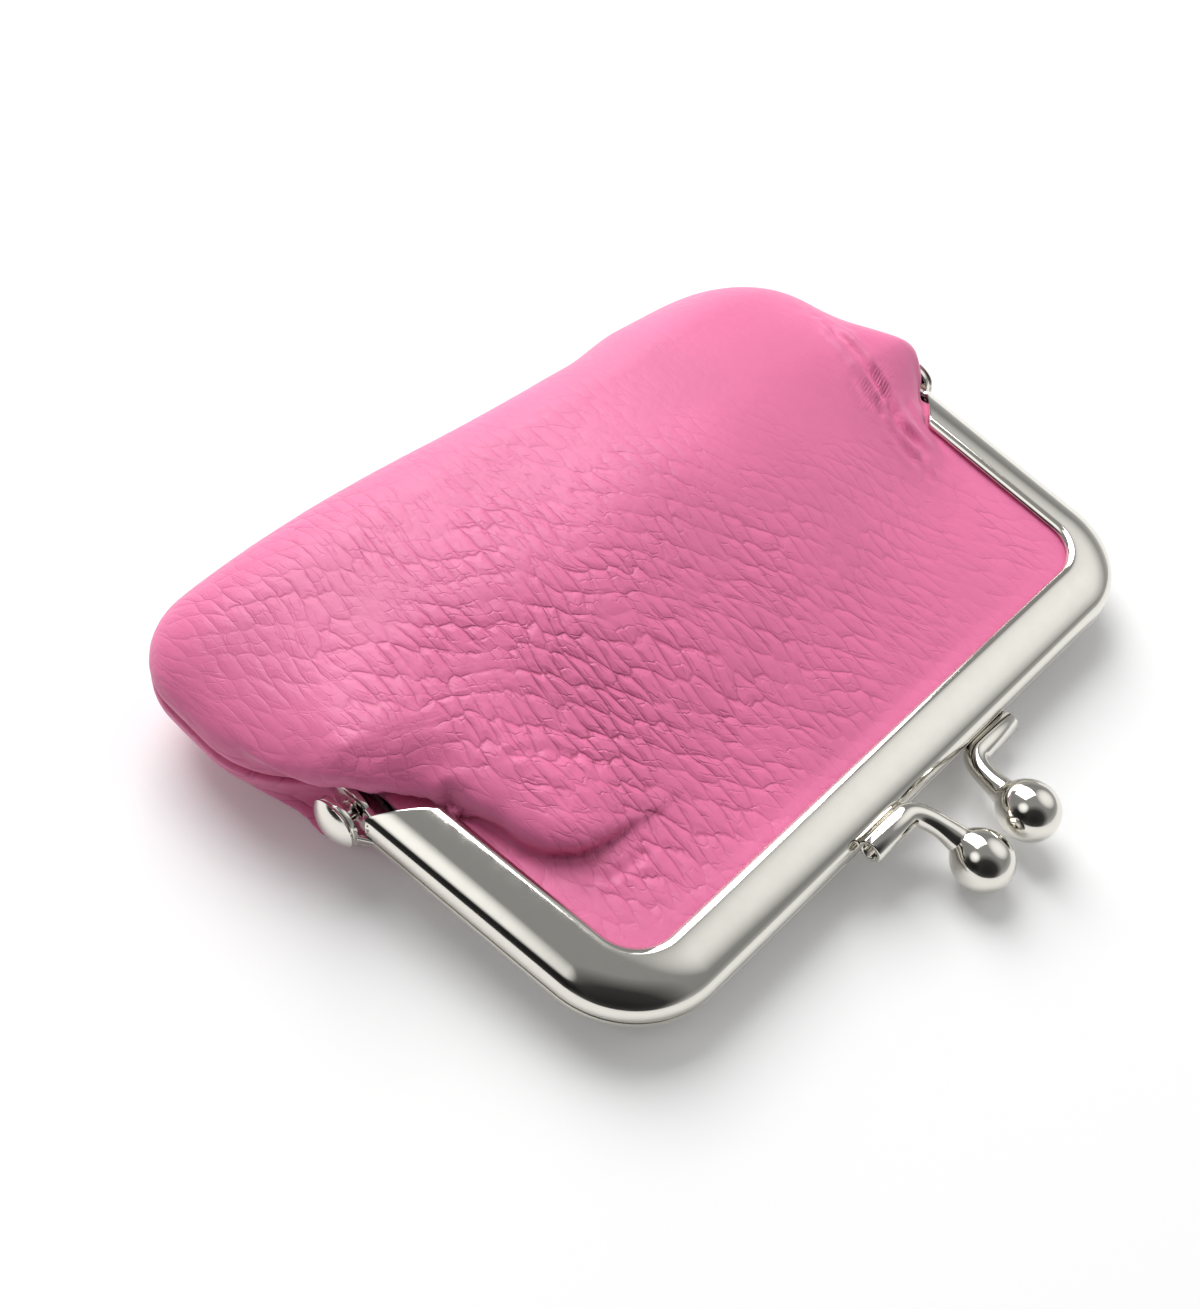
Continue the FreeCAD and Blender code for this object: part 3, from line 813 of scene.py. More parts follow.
def shell_points(turn, y, inset, rear):
    """Smooth pouch wall: one point for each turn across and each place along, as three arrays."""
    f = sizes("frame")
    p = sizes("pouch")
    d = sizes("forms")
    even_share = 0.35
    hill_power = 1.5
    plump_power = 0.7
    blend = freed(y)
    across = np.sin(turn)
    even = turn / (math.pi / 2)
    half = np.where(turn > 0, eased_half(y, inset, True), eased_half(y, inset, False))
    corner_y = p.bottom - p.corner
    drop = np.clip((y - corner_y) / p.corner, 0.0, 1.0)
    closing = np.sqrt(1 - drop ** 2)
    x = half * (even + (across - even) * blend * smooth(closing / even_share))
    place = np.where(y > corner_y, corner_y + (p.corner - inset) * drop, y)
    if rear:
        full = p.rear_depth + y * math.tan(f.tilt)
    else:
        full = p.front_height - d.crest_drop * smooth((y - d.crest_start) / d.crest_run)
    rise = p.rear_rise if rear else p.front_rise
    way = np.clip((y + f.arm_length - p.lip_gap) / rise, 0.0, 1.0)
    lift = smooth(way) if rear else 0.5 * smooth(way) + 0.5 * (1 - (1 - way) ** 2)
    arms = inner_half(np.minimum(y, 0.0))
    span = np.clip(np.abs(x) / (arms - p.lip_gap), 0.0, 1.0)
    top = p.slot_level + (full - p.slot_level) * lift
    if rear:
        flat = 4
        hill = (1 - span ** flat) ** hill_power
        loose = blend
        top_below = full
    else:
        flat = 2
        near = smooth((y - d.plump_start) / d.plump_run)
        hill = (1 - span ** (flat + near)) ** (hill_power + (plump_power - hill_power) * near)
        rim = smooth((np.abs(x) - arms + d.rim) / d.rim_fade)
        loose = blend * rim + smooth((y - d.loose_start) / d.loose_run) * (1 - rim)
        top_below = top
    between = p.slot_level - inset + (top - p.slot_level) * hill
    roundness = np.sqrt(1 - np.clip(np.abs(x) / half, 0.0, 1.0) ** (flat + 1))
    below = (top_below - inset) * roundness * closing
    z = between + (below + p.roll_height - between) * loose
    drawn = p.sag + sum(high * smooth((x - start) / run) for high, start, run in DRAWN_STEPS)
    return x, place - drawn * smooth((place - d.drawn_start) / d.drawn_run), z


def beside_line(points, x, y):
    """Distance to the left of a drawn line, and the share of the way along it, for arrays."""
    best = np.full(x.shape, 1e9)
    side = np.zeros(x.shape)
    way = np.zeros(x.shape)
    lengths = [math.dist(a, b) for a, b in zip(points, points[1:])]
    gone = 0.0
    for (ax, ay), (bx, by), long in zip(points, points[1:], lengths):
        ux, uy = (bx - ax) / long, (by - ay) / long
        t = np.clip((x - ax) * ux + (y - ay) * uy, 0.0, long)
        dx, dy = x - ax - ux * t, y - ay - uy * t
        gap = np.hypot(dx, dy)
        nearer = gap < best
        best = np.where(nearer, gap, best)
        side = np.where(nearer, np.sign(dy * ux - dx * uy) * gap, side)
        way = np.where(nearer, (gone + t) / sum(lengths), way)
        gone += long
    return side, way


def rough(x, y, cell, seed):
    """Soft noise over the plan, between about minus one and one."""
    spots = zip(x.ravel() / cell, y.ravel() / cell)
    values = [noise.noise(Vector((a, b, seed)), noise_basis="PERLIN_ORIGINAL") for a, b in spots]
    return np.array(values).reshape(x.shape)


# Plan lines of the folds and wrinkles, drawn from the hinge towards the bar
FOLD_LINE = (
    (-0.0520, 0.0060), (-0.0470, 0.0012), (-0.0425, -0.0012), (-0.0402, -0.0019), (-0.0385, -0.0025),
    (-0.0373, -0.0046), (-0.0367, -0.0070), (-0.0360, -0.0090), (-0.0353, -0.0116), (-0.0352, -0.0138),
    (-0.0342, -0.0162), (-0.0323, -0.0181), (-0.0305, -0.0189), (-0.0278, -0.0196), (-0.0252, -0.0199),
)
FOLD_RIDGE = ((-0.0376, -0.0026), (-0.0318, -0.0150))
# Crease beside the right arm, where the leather crinkles
RIGHT_CREASE = (
    (0.0372, 0.0110), (0.0356, 0.0049), (0.0348, 0.0018), (0.0344, -0.0014), (0.0333, -0.0036),
    (0.0327, -0.0058), (0.0331, -0.0079), (0.0330, -0.0101), (0.0328, -0.0125),
)
# Each wrinkle: plan points, depth and half width
WRINKLES = (
    (RIGHT_CREASE, 0.00058, 0.0006),
    (((0.0340, 0.0060), (0.0321, 0.0016), (0.0317, -0.0015), (0.0315, -0.0036), (0.0308, -0.0062),
      (0.0306, -0.0093), (0.0306, -0.0121), (0.0316, -0.0140)), 0.00022, 0.0005),
    (((0.0366, -0.0030), (0.0356, -0.0062), (0.0350, -0.0090)), 0.00020, 0.0005),
    (((0.0344, -0.0014), (0.0326, -0.0022), (0.0312, -0.0040)), 0.00018, 0.0004),
    (((0.0330, -0.0090), (0.0316, -0.0100), (0.0304, -0.0120)), 0.00018, 0.0004),
    (((-0.0325, -0.0076), (-0.0297, -0.0087), (-0.0276, -0.0100), (-0.0258, -0.0124),
      (-0.0245, -0.0144)), 0.00012, 0.0005),
    (((-0.0330, -0.0192), (-0.0315, -0.0218), (-0.0286, -0.0222), (-0.0257, -0.0227)), 0.00014, 0.0005),
)
# Each hinge roll: side, how far it stands out and up, where along it stands out most, and its length
HINGE_ROLLS = (
    (-1, 0.0048, 0.0006, 0.0016, 0.0068),
    (1, 0.0060, 0.0012, -0.0006, 0.0082),
)


def front_forms(turn, x, y, z, share):
    """Adds a share of the front panel's folds, rolls, wrinkles and dents to its smooth wall."""
    d = sizes("forms")
    loose = share * off_edge(turn)
    x, y, z, within = left_fold(x, y, z, loose)
    for sign, out, up, spot, long in HINGE_ROLLS:
        held = loose * within if sign < 0 else loose
        z = z + up * hump(y - d.roll_y, d.roll_long) * hump(x - sign * d.roll_x, d.roll_wide) * held
        high = smooth((z - d.roll_low) / d.roll_rise) * smooth((sign * x - d.side_start) / d.side_run)
        x = x + sign * out * hump(y - spot, long) * high * held
    z = wrinkled(x, y, z, loose)
    crinkled = hump(beside_line(RIGHT_CREASE, x, y)[0], d.crinkle_reach)
    z = z + d.crinkle * rough(x, y, d.crinkle_cell, seed=11.0) * crinkled * loose
    z = z - d.dent * hump(np.hypot(x - d.dent_x, y + d.dent_y), d.dent_reach) * loose
    z = z + d.wave * rough(x, y, d.wave_cell, seed=3.0) * loose * freed(y + d.wave_start)
    tucked = smooth((np.abs(x) - inner_half(np.minimum(y, 0.0)) + d.tuck) / d.tuck_fade)
    tucked = tucked * (1 - smooth((y + d.tuck_end) / d.tuck_run))
    return x, y, z + (np.minimum(z, sizes("pouch").slot_level) - z) * tucked


def left_fold(x, y, z, loose):
    """Raises the deep fold by the left arm over the frame; also returns which points it holds."""
    d = sizes("forms")
    side, way = beside_line(FOLD_LINE, x, y)
    strong = hump(beside_line(FOLD_RIDGE, x, y)[0], d.fold_reach)
    within = smooth(side / d.fold_edge)
    wall = np.sqrt(1 - (1 - np.clip(side / d.wall_run, 0.0, 1.0)) ** 2)
    z = z + (d.wall_height * wall + d.crumple * rough(x, y, d.crumple_cell, seed=13.0)) * strong * loose
    push = d.push * strong * hump(side - d.push_place, d.push_reach) * within * loose
    hinge_end_share = 0.28
    bar_end_share = 0.55
    gap_share = 0.36
    fade_share = 0.10
    sideways_share = 0.4
    along_share = 0.2
    bend = smooth((way - bar_end_share) / (3 * fade_share)) + 1 - smooth((way - hinge_end_share) / fade_share)
    x = x - push * (1 - (1 - sideways_share) * bend)
    y = y - push * (along_share + (1 - along_share) * bend)
    gap = hump(way - gap_share, fade_share) * hump(side + d.gap_place, d.gap_reach) * (side < 0)
    return x, y, z - d.gap_depth * gap * loose, within


def wrinkled(x, y, z, loose):
    """Presses the wrinkles in, each between two low lips."""
    start_share = 0.2
    end_share = 0.25
    lip_share = 0.55
    lip_place_share = 1.9
    for points, depth, wide in WRINKLES:
        gap, way = beside_line(points, x, y)
        ends = smooth(way / start_share) * smooth((1 - way) / end_share)
        lips = lip_share * hump(np.abs(gap) - lip_place_share * wide, wide)
        z = z - depth * ends * (hump(gap, wide) - lips) * loose
    return z


def rear_bulge(turn, x, y, z):
    """Lets the rear leather stand out sideways below the hinges, clear of the eyes and rivets."""
    d = sizes("forms")
    loose = off_edge(turn) * smooth((y + d.tuck_end) / d.bulge_run)
    aside = np.abs(x)
    z = z + d.bulge_high * hump(y + d.bulge_y, d.bulge_long) * hump(aside - d.bulge_x, d.bulge_wide) * loose
    low = smooth((z - d.bulge_low) / d.bulge_rise) * smooth((aside - d.side_start) / d.side_run)
    out = np.where(x < 0, -d.bulge_left, d.bulge_right) * hump(y + d.bulge_out_y, d.bulge_out_long)
    return x + out * low * loose, z


def table_depth(y):
    """Depth of the table below the purse's own frame, along it."""
    return sizes("pouch").rest_depth + y * math.tan(sizes("frame").tilt)


def station(share):
    """Place along the pouch for a share of its rows, closer together round the bottom."""
    f = sizes("frame")
    p = sizes("pouch")
    top = -f.arm_length - p.slot_depth
    corner_y = p.bottom - p.corner
    straight_share = 0.78
    low = top + (corner_y - top) * np.clip(share / straight_share, 0.0, 1.0)
    rolled = np.clip((share - straight_share) / (1 - straight_share), 0.0, 1.0)
    return low + p.corner * np.sin(math.pi / 2 * rolled)


def grain_strength(x, y, rear):
    """How deep the grain is: strongest left of the middle, faint at edges and far right."""
    g = sizes("grain")
    rear_share = 0.6
    rear_patch_share = 0.2
    least_share = 0.44
    left_share = 0.60
    far_share = 0.7
    plain_share = 0.6
    strip_share = 0.35
    bar_share = 0.4
    rim_share = 0.55
    patch_share = 0.3
    squat_share = 1.2
    slant_share = 0.7
    if rear:
        return rear_share + rear_patch_share * rough(x, y, g.rear_patch_cell, seed=9.0)
    left = hump(np.hypot(x - g.deep_x, (y - g.deep_y) * squat_share), g.deep_reach)
    far = smooth((x * slant_share + y - g.faint_start) / g.faint_run)
    plain = hump(np.hypot(x - g.plain_x, y - g.plain_y), g.plain_reach)
    strip = smooth((inner_half(np.minimum(y, 0.0)) - np.abs(x) - g.strip) / g.strip_fade)
    strip = np.maximum(strip, freed(y))
    bar = smooth((y + sizes("frame").arm_length - g.bar_strip) / g.bar_fade)
    rim = 1 - smooth((np.abs(x) - g.rim_start) / g.rim_run)
    level = (least_share + left_share * left) * (1 - far_share * far) * (1 - plain_share * plain)
    for inside, kept in ((strip, strip_share), (bar, bar_share), (rim, rim_share)):
        level = level * (kept + (1 - kept) * inside)
    return level * (1 + patch_share * rough(x, y, g.patch_cell, seed=5.0))


def along_surface(x, y, z, across, along):
    """Lengths measured over the leather: from its middle column, and from its edge at the bar."""
    p = sizes("pouch")
    order = np.lexsort((across, along))
    points = np.stack([x, y, z], 1)[order].reshape(p.along + 1, p.across + 1, 3)
    lengths = []
    for axis in (1, 0):
        steps = np.linalg.norm(np.diff(points, axis=axis), axis=2)
        run = np.cumsum(steps, axis=axis)
        run = np.concatenate([np.zeros_like(run[:, :1] if axis else run[:1]), run], axis)
        run = run - run[:, p.across // 2, None] if axis else run
        back = np.empty(len(x))
        back[order] = run.ravel()
        lengths.append(back)
    return lengths


def grain_place(x, y):
    """Grain cell coordinates over the leather: lozenges between furrows towards the bar and slantwise."""
    g = sizes("grain")
    clear_of_zero = 50.0
    long_way = (-1.12, -0.84)
    wide_way = (1.38, -0.21)
    bend_x = x + g.bend * rough(x, y, g.bend_cell, seed=1.0)
    bend_y = y + g.bend * rough(x, y, g.bend_cell, seed=2.0)
    a = (long_way[0] * bend_x + long_way[1] * bend_y) / g.cell_long
    b = (wide_way[0] * bend_x + wide_way[1] * bend_y) / g.cell_wide
    return a + clear_of_zero, b + clear_of_zero


def cell_edges(mesh, place):
    """Distance of each vertex from its grain cell's edge, from the same cells as the leather's finish."""
    spots = np.stack([place[0], place[1], np.zeros(len(place[0]))], 1).astype(np.float32)
    mesh.attributes.new("grain_place", "FLOAT_VECTOR", "POINT").data.foreach_set("vector", spots.ravel())
    group = bpy.data.node_groups.new("Grain cells", "GeometryNodeTree")
    group.interface.new_socket("Geometry", in_out="INPUT", socket_type="NodeSocketGeometry")
    group.interface.new_socket("Geometry", in_out="OUTPUT", socket_type="NodeSocketGeometry")
    enter = group.nodes.new("NodeGroupInput")
    leave = group.nodes.new("NodeGroupOutput")
    spot = group.nodes.new("GeometryNodeInputNamedAttribute")
    spot.data_type = "FLOAT_VECTOR"
    spot.inputs["Name"].default_value = "grain_place"
    store = group.nodes.new("GeometryNodeStoreNamedAttribute")
    store.data_type = "FLOAT"
    store.inputs["Name"].default_value = "cell_edge"
    group.links.new(enter.outputs[0], store.inputs["Geometry"])
    group.links.new(grain_cells(group, spot.outputs["Attribute"])[0], store.inputs["Value"])
    group.links.new(store.outputs["Geometry"], leave.inputs[0])
    obj = bpy.data.objects.new("grain", mesh)
    bpy.context.scene.collection.objects.link(obj)
    obj.modifiers.new("Grain", "NODES").node_group = group
    bpy.context.view_layer.update()
    made = obj.evaluated_get(bpy.context.evaluated_depsgraph_get()).data
    edge = np.zeros(len(mesh.vertices), np.float32)
    made.attributes["cell_edge"].data.foreach_get("value", edge)
    bpy.data.objects.remove(obj)
    bpy.data.node_groups.remove(group)
    return edge


def grain_cells(tree, spot):
    """Adds wavering large and small grain cells to a node tree; returns the distances to their edges."""
    waver = tree.nodes.new("ShaderNodeTexNoise")
    waver.inputs["Scale"].default_value = 0.8
    waver.inputs["Detail"].default_value = 3.0
    tree.links.new(spot, waver.inputs["Vector"])
    centred = tree.nodes.new("ShaderNodeVectorMath")
    centred.operation = "SUBTRACT"
    centred.inputs[1].default_value = (0.5, 0.5, 0.5)
    tree.links.new(waver.outputs["Color"], centred.inputs[0])
    scaled = tree.nodes.new("ShaderNodeVectorMath")
    scaled.operation = "SCALE"
    scaled.inputs["Scale"].default_value = 0.75
    tree.links.new(centred.outputs[0], scaled.inputs[0])
    moved = tree.nodes.new("ShaderNodeVectorMath")
    tree.links.new(spot, moved.inputs[0])
    tree.links.new(scaled.outputs[0], moved.inputs[1])
    edges = []
    for scale in (1.0, 1.9):
        cells = tree.nodes.new("ShaderNodeTexVoronoi")
        cells.voronoi_dimensions = "2D"
        cells.feature = "DISTANCE_TO_EDGE"
        cells.inputs["Scale"].default_value = scale
        cells.inputs["Randomness"].default_value = 0.42
        tree.links.new(moved.outputs[0], cells.inputs["Vector"])
        edges.append(cells.outputs["Distance"])
    return edges


def grid_mesh(name, columns, rows):
    """Flat grid, with its columns' and rows' shares as arrays."""
    bm = bmesh.new()
    bmesh.ops.create_grid(bm, x_segments=columns, y_segments=rows, size=1.0)
    mesh = bpy.data.meshes.new(name)
    bm.to_mesh(mesh)
    bm.free()
    flat = np.zeros(len(mesh.vertices) * 3, np.float32)
    mesh.vertices.foreach_get("co", flat)
    flat = flat.reshape(-1, 3).astype(float)
    return mesh, np.clip(flat[:, 0], -1.0, 1.0), np.clip((flat[:, 1] + 1) / 2, 0.0, 1.0)


def set_points(mesh, x, y, z):
    """Moves a mesh's vertices to arrays of coordinates."""
    mesh.vertices.foreach_set("co", np.stack([x, y, z], 1).astype(np.float32).ravel())
    mesh.update()


def leather_sheet(name, rear):
    """Face of the front or rear leather in the purse's own frame, with folds, grain and turned edge."""
    p = sizes("pouch")
    d = sizes("forms")
    g = sizes("grain")
    mesh, across, along = grid_mesh(name, p.across, p.along)
    turn = across * math.pi / 2
    x, y, z = shell_points(turn, station(along), 0.0, rear)
    if rear:
        x, z = rear_bulge(turn, x, y, z)
        z = z + d.rear_wave * rough(x, y, d.rear_wave_cell, seed=7.0) * freed(y)
        z = np.minimum(z, table_depth(y))
    else:
        x, y, z = front_forms(turn, x, y, z, 1.0)
    most_share = 1.2
    strength = np.clip(grain_strength(x, y, rear), 0.0, most_share)
    over, down = along_surface(x, y, z, across, along)
    set_points(mesh, x, y, z)
    edge = cell_edges(mesh, grain_place(over, -down if rear else down))
    normals = np.zeros(len(mesh.vertices) * 3, np.float32)
    mesh.vertex_normals.foreach_get("vector", normals)
    furrow_share = 0.16
    pillow = -g.depth * strength * np.exp(-edge / furrow_share)
    if rear:
        pillow = pillow * smooth((table_depth(y) - z) / g.table_fade)
    set_points(mesh, *(np.stack([x, y, z]) + normals.reshape(-1, 3).T * pillow))
    depths = mesh.attributes.new("grain_depth", "FLOAT", "POINT")
    depths.data.foreach_set("value", strength.astype(np.float32))
    bm = bmesh.new()
    bm.from_mesh(mesh)
    bpy.data.meshes.remove(mesh)
    turn_edge(bm)
    if rear:
        face_back(bm)
    return bm


def face_back(bm):
    """Turns a panel that was drawn facing the front to the rear."""
    bmesh.ops.scale(bm, vec=(1.0, 1.0, -1.0), verts=bm.verts)
    bmesh.ops.reverse_faces(bm, faces=bm.faces)


def turn_edge(bm):
    """Rolls the sewn edge in towards the seam, from shoulder to shoulder round the bottom."""
    p = sizes("pouch")
    shoulder_y = sizes("hinge").eye_radius
    edges = [e for e in bm.edges if e.is_boundary and min(v.co.y for v in e.verts) > shoulder_y]
    start = bm.verts.layers.float_vector.new("start")
    for v in {v for e in edges for v in e.verts}:
        v[start] = v.co
    steps = 6
    for k in range(1, steps + 1):
        lean = math.pi / 2 * k / steps
        edges, verts = extruded(bm, edges)
        for v in verts:
            x, y, z = v[start]
            corner = p.right_corner if x > 0 else p.left_corner
            reach = (p.right_width if x > 0 else p.half_width) - corner
            core = Vector((max(-reach, min(reach, x)), min(p.bottom - corner, y), 0.0))
            inward = (core - Vector((x, y, 0.0))).normalized()
            v.co = Vector((x, y, 0.0)) + inward * (p.turned_edge * (1 - math.cos(lean)))
            v.co.z = z - (z - p.seam_half) * math.sin(lean)
    bm.verts.layers.float_vector.remove(bm.verts.layers.float_vector["start"])


def thicken(obj, thickness):
    """Gives a sheet its thickness, inwards from its face."""
    solid = obj.modifiers.new("Thickness", "SOLIDIFY")
    solid.thickness = thickness
    solid.offset = -1.0
    solid.use_even_offset = False
    solid.use_rim = True


def lining_sheet(name, rear):
    """Lining inside the leather, following its large folds."""
    p = sizes("pouch")
    coarser = 3
    mesh, across, along = grid_mesh(name, p.across // coarser, p.along // coarser)
    turn = across * math.pi / 2
    fold_share = 0.5
    x, y, z = shell_points(turn, station(along), p.lining_inset, rear)
    if rear:
        x, z = rear_bulge(turn, x, y, z)
        z = np.minimum(z, table_depth(y) - p.lining_inset)
    else:
        x, y, z = front_forms(turn, x, y, z, fold_share)
    set_points(mesh, x, y, z)
    bm = bmesh.new()
    bm.from_mesh(mesh)
    bpy.data.meshes.remove(mesh)
    if rear:
        face_back(bm)
    return bm


def seam_thread():
    """Thread led along the sewn edge, from shoulder to shoulder round the bottom."""
    p = sizes("pouch")
    side_steps = 48
    bottom_steps = 70
    ring_steps = 8
    quarter = math.pi / 2
    side = np.linspace(sizes("hinge").eye_radius + p.thread_start, p.bottom, side_steps)
    across = np.linspace(-quarter, quarter, bottom_steps + 2)[1:-1]
    turns = np.concatenate([np.full(side_steps, -quarter), across, np.full(side_steps, quarter)])
    places = np.concatenate([side, np.full(bottom_steps, p.bottom), side[::-1]])
    x, y, _ = shell_points(turns, places, p.seam_inset, False)
    path = [Vector((a, b, 0.0)) for a, b in zip(x, y)]
    steps = [after - before for before, after in zip(path[:1] + path[:-1], path[1:] + path[-1:])]
    rings = [(centre, step.normalized(), p.thread_radius) for centre, step in zip(path, steps)]
    bm, edges = tube_through(rings, ring_steps)
    bmesh.ops.contextual_create(bm, geom=edges)
    bmesh.ops.recalc_face_normals(bm, faces=bm.faces)
    return bm


def across_hinge(obj):
    """Works out where a front sheet would bend at the hinge, but leaves it unbent and only bakes its placing
    into its mesh.
    """
    p = sizes("pouch")
    start = placing() @ Vector((0.0, p.bend_start, 0.0))
    end = placing() @ Vector((0.0, -p.bend_end, 0.0))
    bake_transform(obj)


# Finishes


class Finish:
    """Node material builder with the shader's own sockets at hand."""

    def __init__(self, name):
        self.material = bpy.data.materials.new(name)
        self.material.use_nodes = True
        self.tree = self.material.node_tree
        self.shader = self.tree.nodes["Principled BSDF"]
        self.place = None

    def node(self, kind, **settings):
        """Adds a node, with its settings and the values of its inputs."""
        made = self.tree.nodes.new(kind)
        for key, value in settings.items():
            if key in made.inputs:
                made.inputs[key].default_value = value
            else:
                setattr(made, key, value)
        return made

    def link(self, source, target):
        """Leads one socket to another."""
        self.tree.links.new(source, target)

    def maths(self, operation, a, b):
        """Adds a sum of two values, each a socket or a number."""
        made = self.node("ShaderNodeMath", operation=operation)
        for socket, value in zip(made.inputs, (a, b)):
            if isinstance(value, bpy.types.NodeSocket):
                self.link(value, socket)
            else:
                socket.default_value = value
        return made.outputs[0]

    def span(self, value, low, high, new_low, new_high, smooth_step=False):
        """Maps a value from one range to another."""
        made = self.node("ShaderNodeMapRange")
        made.interpolation_type = "SMOOTHSTEP" if smooth_step else "LINEAR"
        self.link(value, made.inputs["Value"])
        for key, number in zip(("From Min", "From Max", "To Min", "To Max"), (low, high, new_low, new_high)):
            made.inputs[key].default_value = number
        return made.outputs["Result"]

    def noise(self, scale, detail=3.0, vector=None):
        """Adds soft noise on the object's own coordinates."""
        made = self.node("ShaderNodeTexNoise", Scale=scale, Detail=detail)
        self.link(vector or self.coordinates(), made.inputs["Vector"])
        return made.outputs["Fac"]

    def bands(self, direction, scale, distortion):
        """Adds wavering bands on the object's own coordinates."""
        made = self.node("ShaderNodeTexWave", wave_type="BANDS", bands_direction=direction)
        made.inputs["Scale"].default_value = scale
        made.inputs["Distortion"].default_value = distortion
        self.link(self.coordinates(), made.inputs["Vector"])
        return made.outputs["Fac"]

    def coordinates(self):
        """Object coordinates, from one node for the whole material."""
        if self.place is None:
            self.place = self.node("ShaderNodeTexCoord").outputs["Object"]
        return self.place

    def mixed(self, factor, first, second):
        """Mixes two colours, each a socket or a colour."""
        made = self.node("ShaderNodeMix", data_type="RGBA")
        for key, value in (("A", first), ("B", second)):
            socket = next(s for s in made.inputs if s.name == key and s.type == "RGBA")
            if isinstance(value, bpy.types.NodeSocket):
                self.link(value, socket)
            else:
                socket.default_value = (*value, 1.0)
        self.link(factor, next(s for s in made.inputs if s.name == "Factor" and s.type == "VALUE"))
        return next(s for s in made.outputs if s.type == "RGBA")

    def bump(self, height, distance, strength=1.0, under=None):
        """Adds fine relief, on top of another where given."""
        made = self.node("ShaderNodeBump", Distance=distance, Strength=strength)
        self.link(height, made.inputs["Height"])
        if under is not None:
            self.link(under, made.inputs["Normal"])
        return made.outputs["Normal"]

    def set(self, key, value):
        """Sets or links one of the shader's sockets."""
        if isinstance(value, bpy.types.NodeSocket):
            self.link(value, self.shader.inputs[key])
        else:
            self.shader.inputs[key].default_value = value


def shade(rgb, factor):
    """A lighter or darker colour."""
    return tuple(min(1.0, c * factor) for c in rgb)


def nickel_finish():
    """Polished nickel plate: faint ripples from rolling, hazy spots and hairline scratches."""
    n = Finish("Nickel plate")
    base = tuple(sizes("finish").nickel)
    haze = n.noise(700.0, 4.0)
    n.set("Base Color", n.mixed(haze, base, shade(base, 0.94)))
    n.set("Metallic", 1.0)
    stretch = n.node("ShaderNodeMapping")
    n.link(n.coordinates(), stretch.inputs["Vector"])
    stretch.inputs["Scale"].default_value = (1.0, 0.12, 1.0)
    hair = n.noise(9000.0, 2.0, stretch.outputs["Vector"])
    scratch = n.span(hair, 0.66, 0.74, 0.0, 1.0)
    gloss = n.span(haze, 0.3, 0.7, 0.045, 0.11)
    n.set("Roughness", n.maths("ADD", gloss, n.maths("MULTIPLY", scratch, 0.06)))
    ripple = n.bump(n.noise(110.0, 1.0), 0.0003, 0.05)
    n.set("Normal", n.bump(scratch, 0.000004, 0.15, ripple))
    return n.material


def leather_finish():
    """Satin pebbled leather: cells parted by furrows darkened with painted shade, fine pores and soft patches
    of colour.
    """
    n = Finish("Pebbled leather")
    colours = sizes("finish")
    base = tuple(colours.leather)
    spot = n.node("ShaderNodeAttribute", attribute_name="grain_place")
    depth = n.node("ShaderNodeAttribute", attribute_name="grain_depth")
    large, small = grain_cells(n.tree, spot.outputs["Vector"])
    broken = n.span(n.noise(190.0, 3.0), 0.36, 0.58, 0.12, 1.0)
    strong = n.maths("MULTIPLY", depth.outputs["Fac"], broken)
    # Furrow mask: drives the painted shade in the colour below and the relief in the bump
    shaded_furrow = n.maths("MULTIPLY", n.span(large, 0.0, 0.09, 1.0, 0.0, True), strong)
    slope = n.maths("MULTIPLY", n.span(large, 0.0, 0.34, 1.0, 0.0, True), strong)
    patchy = n.span(n.noise(520.0, 2.0), 0.42, 0.60, 0.0, 1.0)
    faint = n.maths("MULTIPLY", depth.outputs["Fac"], patchy)
    fine = n.maths("MULTIPLY", n.span(small, 0.0, 0.10, 1.0, 0.0, True), faint)
    patches = n.mixed(n.span(n.noise(90.0, 4.0), 0.3, 0.7, 0.0, 1.0), shade(base, 0.95), shade(base, 1.05))
    # Painted shade: the furrows are mixed towards the darker furrow colour, where shade falls in them
    n.set("Base Color", n.mixed(n.maths("MULTIPLY", shaded_furrow, 0.50), patches, tuple(colours.shaded_furrow)))
    n.set("Roughness", n.span(n.noise(1500.0, 3.0), 0.3, 0.7, 0.40, 0.50))
    n.set("Specular IOR Level", 0.42)
    n.set("Sheen Weight", 0.20)
    n.set("Sheen Roughness", 0.4)
    pores = n.bump(n.noise(1700.0, 4.0), 0.00009, 0.34)
    relief = n.maths("ADD", n.maths("MULTIPLY", shaded_furrow, -0.4), n.maths("MULTIPLY", slope, -0.6))
    relief = n.maths("ADD", relief, n.maths("MULTIPLY", fine, -0.35))
    n.set("Normal", n.bump(relief, 0.00023, 0.75, pores))
    return n.material


def cloth_finish():
    """Plain woven lining cloth: crossing threads in relief and uneven dye."""
    n = Finish("Lining cloth")
    base = tuple(sizes("finish").lining)
    weave = None
    for direction in ("X", "Y"):
        bands = n.bands(direction, 700.0, 0.6)
        weave = bands if weave is None else n.maths("MAXIMUM", weave, bands)
    uneven = n.maths("MULTIPLY", weave, n.noise(120.0))
    n.set("Base Color", n.mixed(uneven, shade(base, 0.72), shade(base, 1.15)))
    n.set("Roughness", 0.82)
    n.set("Sheen Weight", 0.2)
    n.set("Normal", n.bump(weave, 0.00012, 0.6))
    return n.material


def twist_finish(name, base, turns, roughness):
    """Twisted paper or thread: slanting strands in relief with a mottled colour."""
    n = Finish(name)
    strands = n.bands("DIAGONAL", turns, 1.5)
    mottle = n.maths("MULTIPLY", strands, n.noise(900.0))
    n.set("Base Color", n.mixed(mottle, shade(base, 0.7), shade(base, 1.2)))
    n.set("Roughness", roughness)
    n.set("Normal", n.bump(strands, 0.0001, 0.6))
    return n.material


